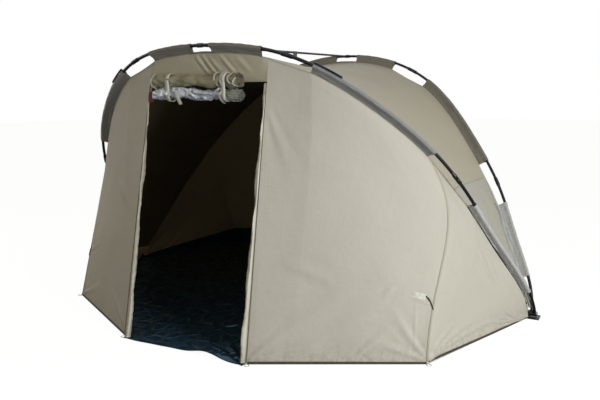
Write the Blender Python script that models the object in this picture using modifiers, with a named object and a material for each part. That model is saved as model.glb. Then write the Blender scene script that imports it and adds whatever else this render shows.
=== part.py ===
"""Twin-rib bivvy tent: two folding ribs on a pair of ground hubs, with a roof, walls and a floor.

Metres, +Z up, +X to the right as seen from the door, +Y to the back. The origin is on the
ground, midway between the two hubs. Both ribs turn about the hub pins, along X.
"""
import math

import bmesh
import bpy
from mathutils import Matrix, Vector

# Frame
HUB_SPAN = 3.11
HUB_HEIGHT = 0.024
RIB_SIDE_STEP = 0.0192
FRONT_REACH = 1.9434
REAR_REACH = 1.7557
FRONT_LEAN_DEG = -36.8
REAR_LEAN_DEG = 23.8
POLE_DIAMETER = 0.018
FERRULE_DIAMETER = 0.023
FERRULE_LENGTH = 0.07
# Cosine shares that square the shoulders of each rib.
FRONT_RIB_SHARES = (-0.0299, 0.0109, 0.0143, 0.0061, 0.0065)
REAR_RIB_SHARES = (-0.1805, 0.0603, 0.0007, 0.0035, 0.0059)

# Places along a rib, as angles from the right-hand hub in radians.
FRONT_HUB_END = 0.05
REAR_HUB_END = 0.073
FRONT_LEG_SLEEVE = (0.113, 0.52)
FRONT_SHOULDER_SLEEVE = (0.737, 1.176)
FRONT_CROWN_SLEEVE_START = 1.345
REAR_LEG_SLEEVE = (0.174, 0.549)
REAR_SHOULDER_SLEEVE = (0.771, 1.218)
REAR_CROWN_SLEEVE_START = 1.371
FRONT_WING_SEAM = 0.593
FRONT_SIDE_SEAM = 0.727
FRONT_DOOR_SEAM = 1.3225
REAR_WING_SEAM = 0.6995
REAR_SIDE_SEAM = 0.82
REAR_DOOR_SEAM = 1.371
RIB_STEPS = 52
STOP_CLEAR = 0.004
STOP_APART = 0.002
RUN_STEP = 0.0001
# Panel cells between those places, from the hub to the middle; the middle run is counted once.
STATION_CELLS = (6, 1, 5, 4)
SEAM_ROWS = 8

# Cloth
CLOTH = 0.002
SEAM_GAP = 0.0003
EDGE_READ_SHARE = 0.02
SLEEVE_WIDTH = 0.070
SLEEVE_CLOTH = 0.0012
SLEEVE_CLEARANCE = 0.0004
WRAP_STEP_DEG = 50
WRAP_START_DEG = 165
WRAP_COUNT = 7
WEB_PARTS_AT = 2
VENT_HALF_WIDTH = 0.072
VENT_STRIP = 0.022
ROOF_SAG = 0.055
WING_SAG = 0.02
WALL_BILLOW = -0.012
REAR_BILLOW = 0.03
SEAM_BOW_OUT = 0.03
SEAM_BOW_BACK = 0.08
SEAM_BOW_SHARE = 0.7
CABIN_CENTRE_HEIGHT = 0.55

# Ground plan
DOOR_CORNER_HALF = 0.397
DOOR_CORNER_FORWARD = 1.387
SIDE_CORNER_HALF = 1.194
SIDE_CORNER_FORWARD = 0.961
BACK_SIDE_CORNER_HALF = 1.29
BACK_SIDE_CORNER_BACK = 1.05
BACK_CORNER_HALF = 0.44
BACK_CORNER_BACK = 1.42
HUB_HEM_INSET = 0.052
HUB_HEM_STEP = 0.052

# Floor
FLOOR_CLOTH = 0.0025
FLOOR_GAP = 0.004
FLOOR_RIM = 0.10
FLOOR_RIM_AT_HUB = 0.03
FLOOR_DOOR_LAP = 0.028
FLOOR_SIDE = -1

# Doorway
HEADER_SHARE = 0.945
FLAP_WIDTH = 0.042
FLAP_START = 0.0009
FLAP_RIPPLE = 0.005
FLAP_RIPPLES = 9
ZIP_SHARE = 0.3
ROLL_HALF_LENGTH = 0.292
ROLL_SHIFT = -0.024
DOOR_ROLL_RADIUS = 0.036
WINDOW_ROLL_RADIUS = 0.034
ROLL_CLEARANCE = 0.0003
ROLL_DROP_DEG = 25
ROLL_WAVE_SHARE = 0.075
ROLL_END_SHARE = 0.12
ROLL_SIDES = 16
ROLL_STATIONS = 18
ROLL_WANDER = 5
ROLL_WANDER_ALONG = 7
STRAP_WIDTH = 0.026
STRAP_CLOTH = 0.0015
STRAP_PLACE_SHARE = 0.62
STRAP_SIDES = 20
SLIDER_WIDTH = 0.009
SLIDER_DEPTH = 0.006
SLIDER_HEIGHT = 0.018
SLIDER_REST = 0.16
SLIDER_GAP = 0.0004

# Hubs
HUB_BOSS_RADIUS = 0.015
HUB_EYE_THICKNESS = 0.0184
PIN_RADIUS = 0.006
PIN_HEAD_RADIUS = 0.012
PIN_HEAD = 0.006
RUN_CLEARANCE = 0.0004
HUB_CHEEK = 0.012
HUB_FOOT_LENGTH = 0.085
HUB_FOOT_WIDTH = 0.070
HUB_FOOT_HEIGHT = 0.005
TENSION_STRAP_WIDTH = 0.020
TENSION_STRAP_START = 0.058
STRAP_OFFSET = 0.0003
STRAP_STAND_OFF = 0.002

# Ridge bar
BAR_DIAMETER = 0.014
BAR_LIFT = 0.0155
CLIP_LENGTH = 0.034
CLIP_BODY = 0.0235
CLIP_EAR = 0.006
CLIP_SLOT = 0.0166
CLIP_CLEARANCE = 0.0008
BAR_PIN_RADIUS = 0.003
BAR_EYE_RADIUS = 0.008
TAB_WIDTH = 0.05
TAB_SHARE = 0.45
TAB_CLOTH = 0.0016
HANGER_CLOTH = 0.0024
TAB_LENGTH = 0.040

# Small fittings
RING_RADIUS = 0.012
RING_WIRE = 0.0028
RING_ASIDE = 0.006
KNUCKLE_DIAMETER = 0.012
KNUCKLE_SPAN = (1.085, 1.175)
GUY_TAB_LENGTH = 0.078
GUY_TAB_WIDTH = 0.034
GUY_CORD_LENGTH = 0.042
GUY_CORD_WIDTH = 0.006
GUY_TAB_CLOTH = 0.002
GUY_TAB_SHARE = 0.31
GUY_STAND_OFF = 0.0004
SEAT_GAP = 0.0003
CUT_OVERRUN = 0.01

HALF_SPAN = HUB_SPAN / 2
POLE_RADIUS = POLE_DIAMETER / 2
FRONT_LEAN = math.radians(FRONT_LEAN_DEG)
REAR_LEAN = math.radians(REAR_LEAN_DEG)
CABIN_CENTRE = Vector((0, 0, CABIN_CENTRE_HEIGHT))
RIGHT, LEFT = 1, -1
SIDES = ((RIGHT, "right"), (LEFT, "left"))


class Rib:
    """One bent rib: a flat arch that starts and ends on the hub pins."""

    def __init__(self, half_width, reach, lean, shares, stops):
        self.half_width = half_width
        self.reach = reach
        self.lean = lean
        self.shares = shares
        self.up = Vector((0, math.sin(lean), math.cos(lean)))
        self.normal = Vector((0, -math.cos(lean), math.sin(lean)))
        vent = VENT_HALF_WIDTH / reach
        half = list(stops) + [math.pi / 2 - vent]
        self.stops = half + [math.pi - stop for stop in half]
        self.stops += [math.pi * i / RIB_STEPS for i in range(RIB_STEPS + 1)]

    def angles(self, start, end):
        """Lists the angles that a run shares with everything else along the rib."""
        low, high = sorted((start, end))
        inner = sorted(stop for stop in self.stops if low + STOP_CLEAR < stop < high - STOP_CLEAR)
        angles = [low]
        for stop in inner:
            if stop - angles[-1] > STOP_APART:
                angles.append(stop)
        angles.append(high)
        return angles if start < end else angles[::-1]

    def ratio(self, angle):
        waves = enumerate(self.shares, start=1)
        return 1 + sum(share * (math.cos(2 * k * angle) - 1) for k, share in waves)

    def flat(self, angle):
        """Places the rib's centreline in its own plane."""
        ratio = self.ratio(angle)
        across = self.half_width * ratio * math.cos(angle)
        along = self.reach * ratio / self.ratio(math.pi / 2) * math.sin(angle)
        return Vector((across, along))

    def outward(self, angle):
        """Returns the rib's outward direction, square to its run."""
        run = self.flat(angle + RUN_STEP) - self.flat(angle - RUN_STEP)
        out = Vector((run.y, -run.x)).normalized()
        return Vector((out.x, 0, 0)) + self.up * out.y

    def point(self, angle, out=0.0, side=0.0):
        across, along = self.flat(angle)
        base = Vector((across, 0, HUB_HEIGHT)) + self.up * along
        return base + self.outward(angle) * out + self.normal * side

    def body(self, angle):
        """Returns the seam where the roof and walls meet the sleeve's web."""
        return self.point(angle, -SLEEVE_WIDTH)


FRONT = Rib(HALF_SPAN + RIB_SIDE_STEP / 2, FRONT_REACH, FRONT_LEAN, FRONT_RIB_SHARES,
            (*FRONT_LEG_SLEEVE, *FRONT_SHOULDER_SLEEVE, FRONT_CROWN_SLEEVE_START))
REAR = Rib(HALF_SPAN - RIB_SIDE_STEP / 2, REAR_REACH, REAR_LEAN, REAR_RIB_SHARES,
           (*REAR_LEG_SLEEVE, *REAR_SHOULDER_SLEEVE, REAR_CROWN_SLEEVE_START))


def stations(hub_end, wing, side, door):
    """Lists the angles where the panels of one rib have their seams and cells."""
    stops = (hub_end, wing, side, door)
    half = []
    for start, end, cells in zip(stops, stops[1:], STATION_CELLS):
        half += [start + (end - start) * i / cells for i in range(cells)]
    middle = STATION_CELLS[-1]
    crown = [door + (math.pi - 2 * door) * i / middle for i in range(middle + 1)]
    return half + crown + [math.pi - angle for angle in reversed(half)]


FRONT_STATIONS = stations(FRONT_HUB_END, FRONT_WING_SEAM, FRONT_SIDE_SEAM, FRONT_DOOR_SEAM)
REAR_STATIONS = stations(REAR_HUB_END, REAR_WING_SEAM, REAR_SIDE_SEAM, REAR_DOOR_SEAM)
WING_AT = STATION_CELLS[0]
SIDE_AT = WING_AT + STATION_CELLS[1]
DOOR_AT = SIDE_AT + STATION_CELLS[2]
LAST_AT = len(FRONT_STATIONS) - 1


def clear_scene():
    for item in list(bpy.data.objects):
        bpy.data.objects.remove(item)


def make_collection(name):
    collection = bpy.data.collections.new(name)
    bpy.context.scene.collection.children.link(collection)
    return collection


def make_material(name, colour, roughness, metallic=0.0):
    material = bpy.data.materials.new(name)
    material.use_nodes = True
    shader = material.node_tree.nodes["Principled BSDF"]
    shader.inputs["Base Color"].default_value = (*colour, 1)
    shader.inputs["Roughness"].default_value = roughness
    shader.inputs["Metallic"].default_value = metallic
    return material


def add_object(name, data, material, smooth=True):
    """Links a new object to the model's collection with its own material."""
    item = bpy.data.objects.new(name, data)
    PARTS.objects.link(item)
    data.materials.append(material)
    if smooth and isinstance(data, bpy.types.Mesh):
        data.shade_smooth()
        data.set_sharp_from_angle(angle=math.radians(35))
    return item


def mesh_from(bm, name, outward=True):
    """Turns a form into a mesh; an open surface's faces are first turned to agree."""
    if outward:
        bmesh.ops.recalc_face_normals(bm, faces=bm.faces[:])
        if bm.calc_volume(signed=True) < 0:
            bmesh.ops.reverse_faces(bm, faces=bm.faces[:])
    mesh = bpy.data.meshes.new(name)
    bm.to_mesh(mesh)
    bm.free()
    return mesh


def inward(place):
    """Returns the direction in which cloth gains its thickness, shared by all the panels."""
    return (CABIN_CENTRE - place).normalized()


def drawn_in(surface, u, w, edge_gap):
    """Reads a surface, with its edges drawn in a little to leave the seam gap."""
    place = surface(u, w)
    for value, towards in ((u, (EDGE_READ_SHARE, 0)), (w, (0, EDGE_READ_SHARE))):
        sign = 1 if value < 1e-6 else -1 if value > 1 - 1e-6 else 0
        if sign:
            near = surface(u + sign * towards[0], w + sign * towards[1])
            place = place + (near - place).normalized() * edge_gap
    return place


def cloth(name, surface, cols, rows, material, thickness=CLOTH, direction=inward):
    """Makes a closed cloth panel from a surface over the unit square."""
    bm = bmesh.new()
    bmesh.ops.create_grid(bm, x_segments=cols, y_segments=rows, size=1)
    for vert in bm.verts:
        u = round((vert.co.x + 1) / 2 * cols) / cols
        w = round((vert.co.y + 1) / 2 * rows) / rows
        vert.co = drawn_in(surface, u, w, SEAM_GAP)
    made = bmesh.ops.extrude_face_region(bm, geom=bm.faces[:], use_keep_orig=True)
    for item in made["geom"]:
        if isinstance(item, bmesh.types.BMVert):
            item.co += direction(item.co) * thickness
    return add_object(name, mesh_from(bm, name), material)


def line(start, end):
    return lambda share: start.lerp(end, share)


def bowed(start, end, bow, peak=0.5):
    """Returns a line whose middle is drawn out by a vector; its peak lies at a share of it."""
    power = math.log(0.5) / math.log(peak)
    return lambda share: start.lerp(end, share) + bow * math.sin(math.pi * share ** power)


def along(rib, angles):
    """Returns a body seam that passes through the given stations at even shares."""
    cells = len(angles) - 1

    def read(share):
        place = min(max(share, 0), 1) * cells
        index = min(int(place), cells - 1)
        angle = angles[index] + (angles[index + 1] - angles[index]) * (place - index)
        return rib.body(angle)

    return read


def through(places, cells):
    """Returns a straight-sided run through the places, with a count of cells for each side."""
    def read(share):
        left = min(max(share, 0), 1) * sum(cells)
        for start, end, count in zip(places, places[1:], cells):
            if left <= count or end is places[-1]:
                return start.lerp(end, left / count)
            left -= count

    return read


def coons(bottom, top, start, end, billow=0.0):
    """Fills four joined curves, with its middle billowed away from the cabin."""
    def read(u, w):
        ruled_up = bottom(u).lerp(top(u), w)
        ruled_across = start(w).lerp(end(w), u)
        corners = bottom(0).lerp(bottom(1), u).lerp(top(0).lerp(top(1), u), w)
        place = ruled_up + ruled_across - corners
        fullness = billow * math.sin(math.pi * u) * math.sin(math.pi * w)
        return place - inward(place) * fullness
    return read


def ground(half, back, side=RIGHT):
    return Vector((side * half, back, 0))


def mirrored(angle, side):
    return angle if side == RIGHT else math.pi - angle


def mirror_angles(angles, side):
    return [mirrored(angle, side) for angle in angles]


def tube(name, places, radii, material, sides_level=2):
    """Makes a capped tube along the places, each with its own radius."""
    curve = bpy.data.curves.new(name, "CURVE")
    curve.dimensions = "3D"
    curve.bevel_depth = 1
    curve.bevel_resolution = sides_level
    curve.use_fill_caps = True
    spline = curve.splines.new("POLY")
    spline.points.add(len(places) - 1)
    for point, place, radius in zip(spline.points, places, radii):
        point.co = (*place, 1)
        point.radius = radius
    return add_object(name, curve, material)


def as_mesh(item):
    """Turns a curve object into a welded mesh object of the same name."""
    name, material = item.name, item.data.materials[0]
    evaluated = item.evaluated_get(bpy.context.evaluated_depsgraph_get())
    mesh = bpy.data.meshes.new_from_object(evaluated)
    placed = item.matrix_world.copy()
    bpy.data.objects.remove(item)
    bm = bmesh.new()
    bm.from_mesh(mesh)
    bmesh.ops.remove_doubles(bm, verts=bm.verts[:], dist=1e-5)
    bmesh.ops.recalc_face_normals(bm, faces=bm.faces[:])
    bm.to_mesh(mesh)
    bm.free()
    mesh.materials.clear()
    result = add_object(name, mesh, material)
    result.name = name
    result.matrix_world = placed
    return result


def cylinder(name, start, end, radius, material=None, sides=16, outer=None):
    """Makes a round bar between two places; an outer radius at its end makes it a cone."""
    bm = bmesh.new()
    length = (end - start).length
    bmesh.ops.create_cone(bm, cap_ends=True, segments=sides, radius1=radius,
                          radius2=radius if outer is None else outer, depth=length)
    turn = Vector((0, 0, 1)).rotation_difference(end - start).to_matrix().to_4x4()
    bm.transform(Matrix.Translation(start.lerp(end, 0.5)) @ turn)
    return placed_piece(name, bm, material)


def block(name, centre, size, material=None, axes=None):
    """Makes a box; axes are its three directions where it is turned."""
    bm = bmesh.new()
    bmesh.ops.create_cube(bm, size=1)
    bmesh.ops.scale(bm, vec=size, verts=bm.verts[:])
    if axes:
        bm.transform(Matrix(axes).transposed().to_4x4())
    bm.transform(Matrix.Translation(centre))
    return placed_piece(name, bm, material)


def placed_piece(name, bm, material):
    """Links a finished form as a part, or as a hidden cutter where it has no material."""
    mesh = mesh_from(bm, name)
    if material:
        return add_object(name, mesh, material)
    item = bpy.data.objects.new(name, mesh)
    CUTTERS.objects.link(item)
    item.hide_render = True
    item.display_type = "WIRE"
    return item


def combine(item, other, operation):
    modifier = item.modifiers.new(operation.title(), "BOOLEAN")
    modifier.operation = operation
    modifier.solver = "EXACT"
    modifier.object = other
    return item


def make_rib(prefix, rib, leg_top, crown_start, material):
    """Makes a rib's crown, shoulders and legs, with a ferrule collar at each joint."""
    half_gap = SEAT_GAP / 2 / rib.reach
    joints = {"shoulder": (leg_top, crown_start), "leg": (None, leg_top)}

    def run(name, start, end, collars):
        collar = FERRULE_LENGTH / 2 / rib.reach
        step = collar * 0.04
        sign = 1 if end > start else -1
        angles, radii = [], []
        for angle in rib.angles(start, end):
            from_ends = (abs(angle - start), abs(end - angle))
            if not any(has and distance < collar + 3 * step
                       for has, distance in zip(collars, from_ends)):
                angles.append(angle)
                radii.append(POLE_RADIUS)
        wide = FERRULE_DIAMETER / 2
        if collars[0]:
            angles[0:0] = [start + sign * run for run in (0, step, collar, collar + step)]
            radii[0:0] = [wide, wide, wide, POLE_RADIUS]
        if collars[1]:
            angles += [end - sign * run for run in (collar + step, collar, step, 0)]
            radii += [POLE_RADIUS, wide, wide, wide]
        return tube(name, [rib.point(a) for a in angles], radii, material)

    run(f"{prefix}_rib_crown", crown_start + half_gap, math.pi - crown_start - half_gap,
        (True, True))
    for side, word in SIDES:
        low, high = joints["shoulder"]
        run(f"{prefix}_rib_shoulder_{word}", mirrored(low + half_gap, side),
            mirrored(high - half_gap, side), (True, True))
        clear_of_pin = (PIN_HEAD_RADIUS + HUB_BOSS_RADIUS) / 2
        start = clear_of_pin * rib.ratio(math.pi / 2) / rib.reach
        leg = as_mesh(run(f"{prefix}_rib_leg_{word}", mirrored(start, side),
                          mirrored(leg_top - half_gap, side), (False, True)))
        pin = Vector((side * rib.half_width, 0, HUB_HEIGHT))
        half_eye = Vector((HUB_EYE_THICKNESS / 2, 0, 0))
        eye = cylinder(f"{leg.name}_eye_form", pin - half_eye, pin + half_eye, HUB_BOSS_RADIUS)
        long_half = half_eye + Vector((CUT_OVERRUN, 0, 0))
        bore = cylinder(f"{leg.name}_bore_form", pin - long_half, pin + long_half,
                        PIN_RADIUS + RUN_CLEARANCE)
        combine(combine(leg, eye, "UNION"), bore, "DIFFERENCE")


def make_sleeve(name, rib, start, end, material, vent=False):
    """Makes a sleeve: a web from the body seam that wraps round the pole."""
    half_step = math.radians(WRAP_STEP_DEG) / 2
    hold = (POLE_RADIUS + SLEEVE_CLEARANCE + SLEEVE_CLOTH / 2) / math.cos(half_step)
    near = -(SLEEVE_WIDTH - SLEEVE_CLOTH)
    path = [(near, 0), (near + VENT_STRIP, 0), (-WEB_PARTS_AT * hold, 0)]
    wrap = [math.radians(WRAP_START_DEG - WRAP_STEP_DEG * i) for i in range(WRAP_COUNT)]
    path += [(hold * math.cos(turn), hold * math.sin(turn)) for turn in wrap]
    angles = rib.angles(start, end)
    cols = len(angles) - 1
    bm = bmesh.new()
    bmesh.ops.create_grid(bm, x_segments=cols, y_segments=len(path) - 1, size=1)
    doomed = []
    for face in bm.faces:
        centre = face.calc_center_median()
        column = int((centre.x + 1) / 2 * cols)
        row = (centre.y + 1) / 2 * (len(path) - 1)
        middle = (angles[column] + angles[column + 1]) / 2
        if vent and abs(middle - math.pi / 2) < VENT_HALF_WIDTH / rib.reach and row > 1:
            doomed.append(face)
    bmesh.ops.delete(bm, geom=doomed, context="FACES")
    for vert in bm.verts:
        angle = angles[round((vert.co.x + 1) / 2 * cols)]
        out, side = path[round((vert.co.y + 1) / 2 * (len(path) - 1))]
        vert.co = rib.point(angle, out, side)
    bmesh.ops.recalc_face_normals(bm, faces=bm.faces[:])
    mesh = bpy.data.meshes.new(name)
    bm.to_mesh(mesh)
    bm.free()
    item = add_object(name, mesh, material)
    shell = item.modifiers.new("Cloth", "SOLIDIFY")
    shell.thickness = SLEEVE_CLOTH
    shell.offset = 0
    shell.use_even_offset = True
    return item


def make_sleeves(prefix, rib, leg, shoulder, crown_start, material):
    make_sleeve(f"{prefix}_sleeve_crown", rib, crown_start, math.pi - crown_start, material, True)
    for side, word in SIDES:
        for kind, span in (("leg", leg), ("shoulder", shoulder)):
            low, high = (mirrored(angle, side) for angle in span)
            make_sleeve(f"{prefix}_sleeve_{kind}_{word}", rib, low, high, material)


def make_roof(material):
    """Makes the roof between the two body seams: a canopy and a wing to each hub."""
    front = lambda i, j: along(FRONT, FRONT_STATIONS[i:j + 1])
    rear = lambda i, j: along(REAR, REAR_STATIONS[i:j + 1])

    def between(first, last, sag_at):
        fore, aft = front(first, last), rear(first, last)

        def read(u, w):
            place = fore(u).lerp(aft(u), w)
            return place + inward(place) * sag_at(u) * math.sin(math.pi * w)

        return read

    canopy_cells = LAST_AT - 2 * WING_AT
    canopy_sag = lambda u: WING_SAG + (ROOF_SAG - WING_SAG) * math.sin(math.pi * u)
    cloth("roof_canopy", between(WING_AT, LAST_AT - WING_AT, canopy_sag), canopy_cells, 8,
          material)
    cloth("roof_wing_right", between(0, WING_AT, lambda u: WING_SAG * u), WING_AT, 6, material)
    cloth("roof_wing_left", between(LAST_AT - WING_AT, LAST_AT, lambda u: WING_SAG * (1 - u)),
          WING_AT, 6, material)


def side_seam(side):
    """Returns the front seam from the side corner on the ground up to the front rib."""
    foot = ground(SIDE_CORNER_HALF, -SIDE_CORNER_FORWARD, side)
    head = FRONT.body(mirrored(FRONT_SIDE_SEAM, side))
    return bowed(foot, head, Vector((side * SEAM_BOW_OUT, SEAM_BOW_BACK, 0)), SEAM_BOW_SHARE)


def rear_seam(side):
    foot = ground(BACK_SIDE_CORNER_HALF, BACK_SIDE_CORNER_BACK, side)
    head = REAR.body(mirrored(REAR_SIDE_SEAM, side))
    return bowed(foot, head, Vector((side * REAR_BILLOW, REAR_BILLOW, 0)))


def jamb(side):
    """Returns the straight door edge from its ground corner to the front rib."""
    foot = ground(DOOR_CORNER_HALF, -DOOR_CORNER_FORWARD, side)
    return line(foot, FRONT.body(mirrored(FRONT_DOOR_SEAM, side)))


def hub_foot(side, back):
    return ground(HALF_SPAN - HUB_HEM_INSET, back * HUB_HEM_STEP, side)


def front_panel(side):
    """Returns the surface beside the doorway, from the door edge to the side seam."""
    door = mirror_angles(FRONT_STATIONS[SIDE_AT:DOOR_AT + 1][::-1], side)
    corner = ground(SIDE_CORNER_HALF, -SIDE_CORNER_FORWARD, side)
    door_foot = ground(DOOR_CORNER_HALF, -DOOR_CORNER_FORWARD, side)
    return coons(line(door_foot, corner), along(FRONT, door), jamb(side), side_seam(side),
                 WALL_BILLOW)


def make_front_walls(material):
    for side, word in SIDES:
        corner = ground(SIDE_CORNER_HALF, -SIDE_CORNER_FORWARD, side)
        cloth(f"front_panel_{word}", front_panel(side), DOOR_AT - SIDE_AT, SEAM_ROWS, material)
        flank = mirror_angles(FRONT_STATIONS[:SIDE_AT + 1][::-1], side)
        hub_edge = line(hub_foot(side, -1), FRONT.body(mirrored(FRONT_HUB_END, side)))
        gore = coons(line(corner, hub_foot(side, -1)), along(FRONT, flank), side_seam(side),
                     hub_edge, WALL_BILLOW)
        cloth(f"front_side_panel_{word}", gore, SIDE_AT, SEAM_ROWS, material)


def back_wall():
    """Returns the back wall's surface, from its right seam to its left one."""
    feet = [ground(BACK_SIDE_CORNER_HALF, BACK_SIDE_CORNER_BACK, RIGHT),
            ground(BACK_CORNER_HALF, BACK_CORNER_BACK, RIGHT),
            ground(BACK_CORNER_HALF, BACK_CORNER_BACK, LEFT),
            ground(BACK_SIDE_CORNER_HALF, BACK_SIDE_CORNER_BACK, LEFT)]
    angles = REAR_STATIONS[SIDE_AT:LAST_AT - SIDE_AT + 1]
    return coons(through(feet, STATION_CELLS[2:] + STATION_CELLS[2:3]), along(REAR, angles),
                 rear_seam(RIGHT), rear_seam(LEFT), REAR_BILLOW)


def rear_flank(side):
    """Returns the surface of the wall between a rear corner and its hub."""
    flank = mirror_angles(REAR_STATIONS[:SIDE_AT + 1][::-1], side)
    corner = ground(BACK_SIDE_CORNER_HALF, BACK_SIDE_CORNER_BACK, side)
    hub_edge = line(hub_foot(side, 1), REAR.body(mirrored(REAR_HUB_END, side)))
    return coons(line(corner, hub_foot(side, 1)), along(REAR, flank), rear_seam(side),
                 hub_edge, REAR_BILLOW)


def make_rear_walls(material):
    cloth("back_wall", back_wall(), LAST_AT - 2 * SIDE_AT, SEAM_ROWS, material)
    for side, word in SIDES:
        cloth(f"rear_side_panel_{word}", rear_flank(side), SIDE_AT, SEAM_ROWS, material)


def make_header(material):
    """Makes the panel over the doorway, between the two door edges."""
    angles = FRONT_STATIONS[DOOR_AT:LAST_AT - DOOR_AT + 1]
    ends = {side: jamb(side) for side, _ in SIDES}
    edge = lambda side: lambda w: ends[side](HEADER_SHARE + (1 - HEADER_SHARE) * w)
    low = line(ends[RIGHT](HEADER_SHARE), ends[LEFT](HEADER_SHARE))
    panel = coons(low, along(FRONT, angles), edge(RIGHT), edge(LEFT))
    cloth("door_header", panel, STATION_CELLS[-1], 4, material)


def make_flaps(material):
    """Makes a rippled storm flap along each door edge, flat beside the zip."""
    for side, word in SIDES:
        edge = jamb(side)
        length = (edge(1) - edge(0)).length
        low = 2 * FLOOR_GAP / length
        top = HEADER_SHARE - 2 * SLIDER_HEIGHT / length

        def flap(u, w, side=side, edge=edge, low=low, top=top):
            ripple = max(0, u - ZIP_SHARE) * math.sin(2 * math.pi * FLAP_RIPPLES * w)
            out = Vector((0, -FLAP_RIPPLE * ripple, 0))
            return edge(low + (top - low) * w) + Vector((-side * (FLAP_START + FLAP_WIDTH * u), 0, 0)) + out

        back = lambda place: Vector((0, 1, 0))
        cloth(f"storm_flap_{word}", flap, 3, 4 * FLAP_RIPPLES, material, direction=back)


def make_sliders(material):
    """Makes a zip slider in front of each flap's flat edge."""
    for side, word in SIDES:
        edge = jamb(side)
        run = (edge(1) - edge(0)).normalized()
        across = Vector((1, 0, 0))
        across = (across - run * across.dot(run)).normalized()
        face = run.cross(across)
        face = face if face.y < 0 else -face
        place = edge(0) + run * SLIDER_REST
        place += Vector((-side * FLAP_WIDTH * ZIP_SHARE / 2, 0, 0))
        place += face * (SLIDER_DEPTH / 2 + SLIDER_GAP)
        block(f"zip_slider_{word}", place, (SLIDER_WIDTH, SLIDER_DEPTH, SLIDER_HEIGHT),
              material, (across, face, run))


def roll_centres():
    """Places the door roll and the window roll, one under the other, before the header."""
    hang = jamb(RIGHT)(HEADER_SHARE)
    lift = 1 + ROLL_WAVE_SHARE
    away = DOOR_ROLL_RADIUS * lift + STRAP_CLOTH + SEAM_GAP
    turn = math.radians(ROLL_DROP_DEG)
    upper = Vector((ROLL_SHIFT, hang.y - away * math.cos(turn), hang.z - away * math.sin(turn)))
    drop = (DOOR_ROLL_RADIUS + WINDOW_ROLL_RADIUS) * lift + ROLL_CLEARANCE
    return upper, upper - Vector((0, 0, drop))


def make_roll(name, centre, radius, half_length, waves, material):
    """Makes a rolled-up panel: a soft bar with folds that wander along it."""
    bm = bmesh.new()
    bmesh.ops.create_cone(bm, cap_ends=True, segments=ROLL_SIDES, radius1=1, radius2=1, depth=2)
    rings = [edge for edge in bm.edges if abs(edge.verts[0].co.z - edge.verts[1].co.z) > 1]
    bmesh.ops.subdivide_edges(bm, edges=rings, cuts=ROLL_STATIONS - 1, use_grid_fill=True)
    for vert in bm.verts:
        turn = math.atan2(vert.co.y, vert.co.x)
        share = vert.co.z
        swell = (math.sin(waves * turn + ROLL_WANDER * share)
                 * math.cos(ROLL_WANDER_ALONG * share + waves))
        if abs(abs(share) - STRAP_PLACE_SHARE) < STRAP_WIDTH / half_length:
            swell = 1
        taper = 1 - ROLL_END_SHARE * abs(share) ** 6
        reach = radius * (1 + ROLL_WAVE_SHARE * swell) * taper
        vert.co = centre + Vector((share * half_length, reach * math.cos(turn),
                                   reach * math.sin(turn)))
    return placed_piece(name, bm, material)


def make_strap(name, across, material):
    """Makes a webbing loop round both rolls, as an outline with a hole."""
    upper, lower = roll_centres()
    lift = 1 + ROLL_WAVE_SHARE
    curve = bpy.data.curves.new(name, "CURVE")
    curve.dimensions = "2D"
    curve.fill_mode = "BOTH"
    curve.extrude = STRAP_WIDTH / 2
    for extra in (ROLL_CLEARANCE + STRAP_CLOTH, ROLL_CLEARANCE):
        spline = curve.splines.new("POLY")
        half = STRAP_SIDES // 2
        spline.points.add(2 * (half + 1) - 1)
        for index in range(2 * (half + 1)):
            top = index <= half
            centre = upper if top else lower
            radius = (DOOR_ROLL_RADIUS if top else WINDOW_ROLL_RADIUS) * lift + extra
            turn = math.pi * (index if top else index - 1) / half
            place = centre - upper
            spline.points[index].co = (place.y + radius * math.cos(turn),
                                       place.z + radius * math.sin(turn), 0, 1)
        spline.use_cyclic_u = True
    item = add_object(name, curve, material)
    item.matrix_world = Matrix((( 0, 0, 1, across), (1, 0, 0, upper.y), (0, 1, 0, upper.z),
                                (0, 0, 0, 1)))
    return item


def make_door(cloth_material, window_material, strap_material):
    upper, lower = roll_centres()
    make_roll("door_roll", upper, DOOR_ROLL_RADIUS, ROLL_HALF_LENGTH, 3, cloth_material)
    make_roll("window_roll", lower, WINDOW_ROLL_RADIUS, ROLL_HALF_LENGTH, 4, window_material)
    for side, word in SIDES:
        across = ROLL_SHIFT + side * ROLL_HALF_LENGTH * STRAP_PLACE_SHARE
        make_strap(f"roll_strap_{word}", across, strap_material)


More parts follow.
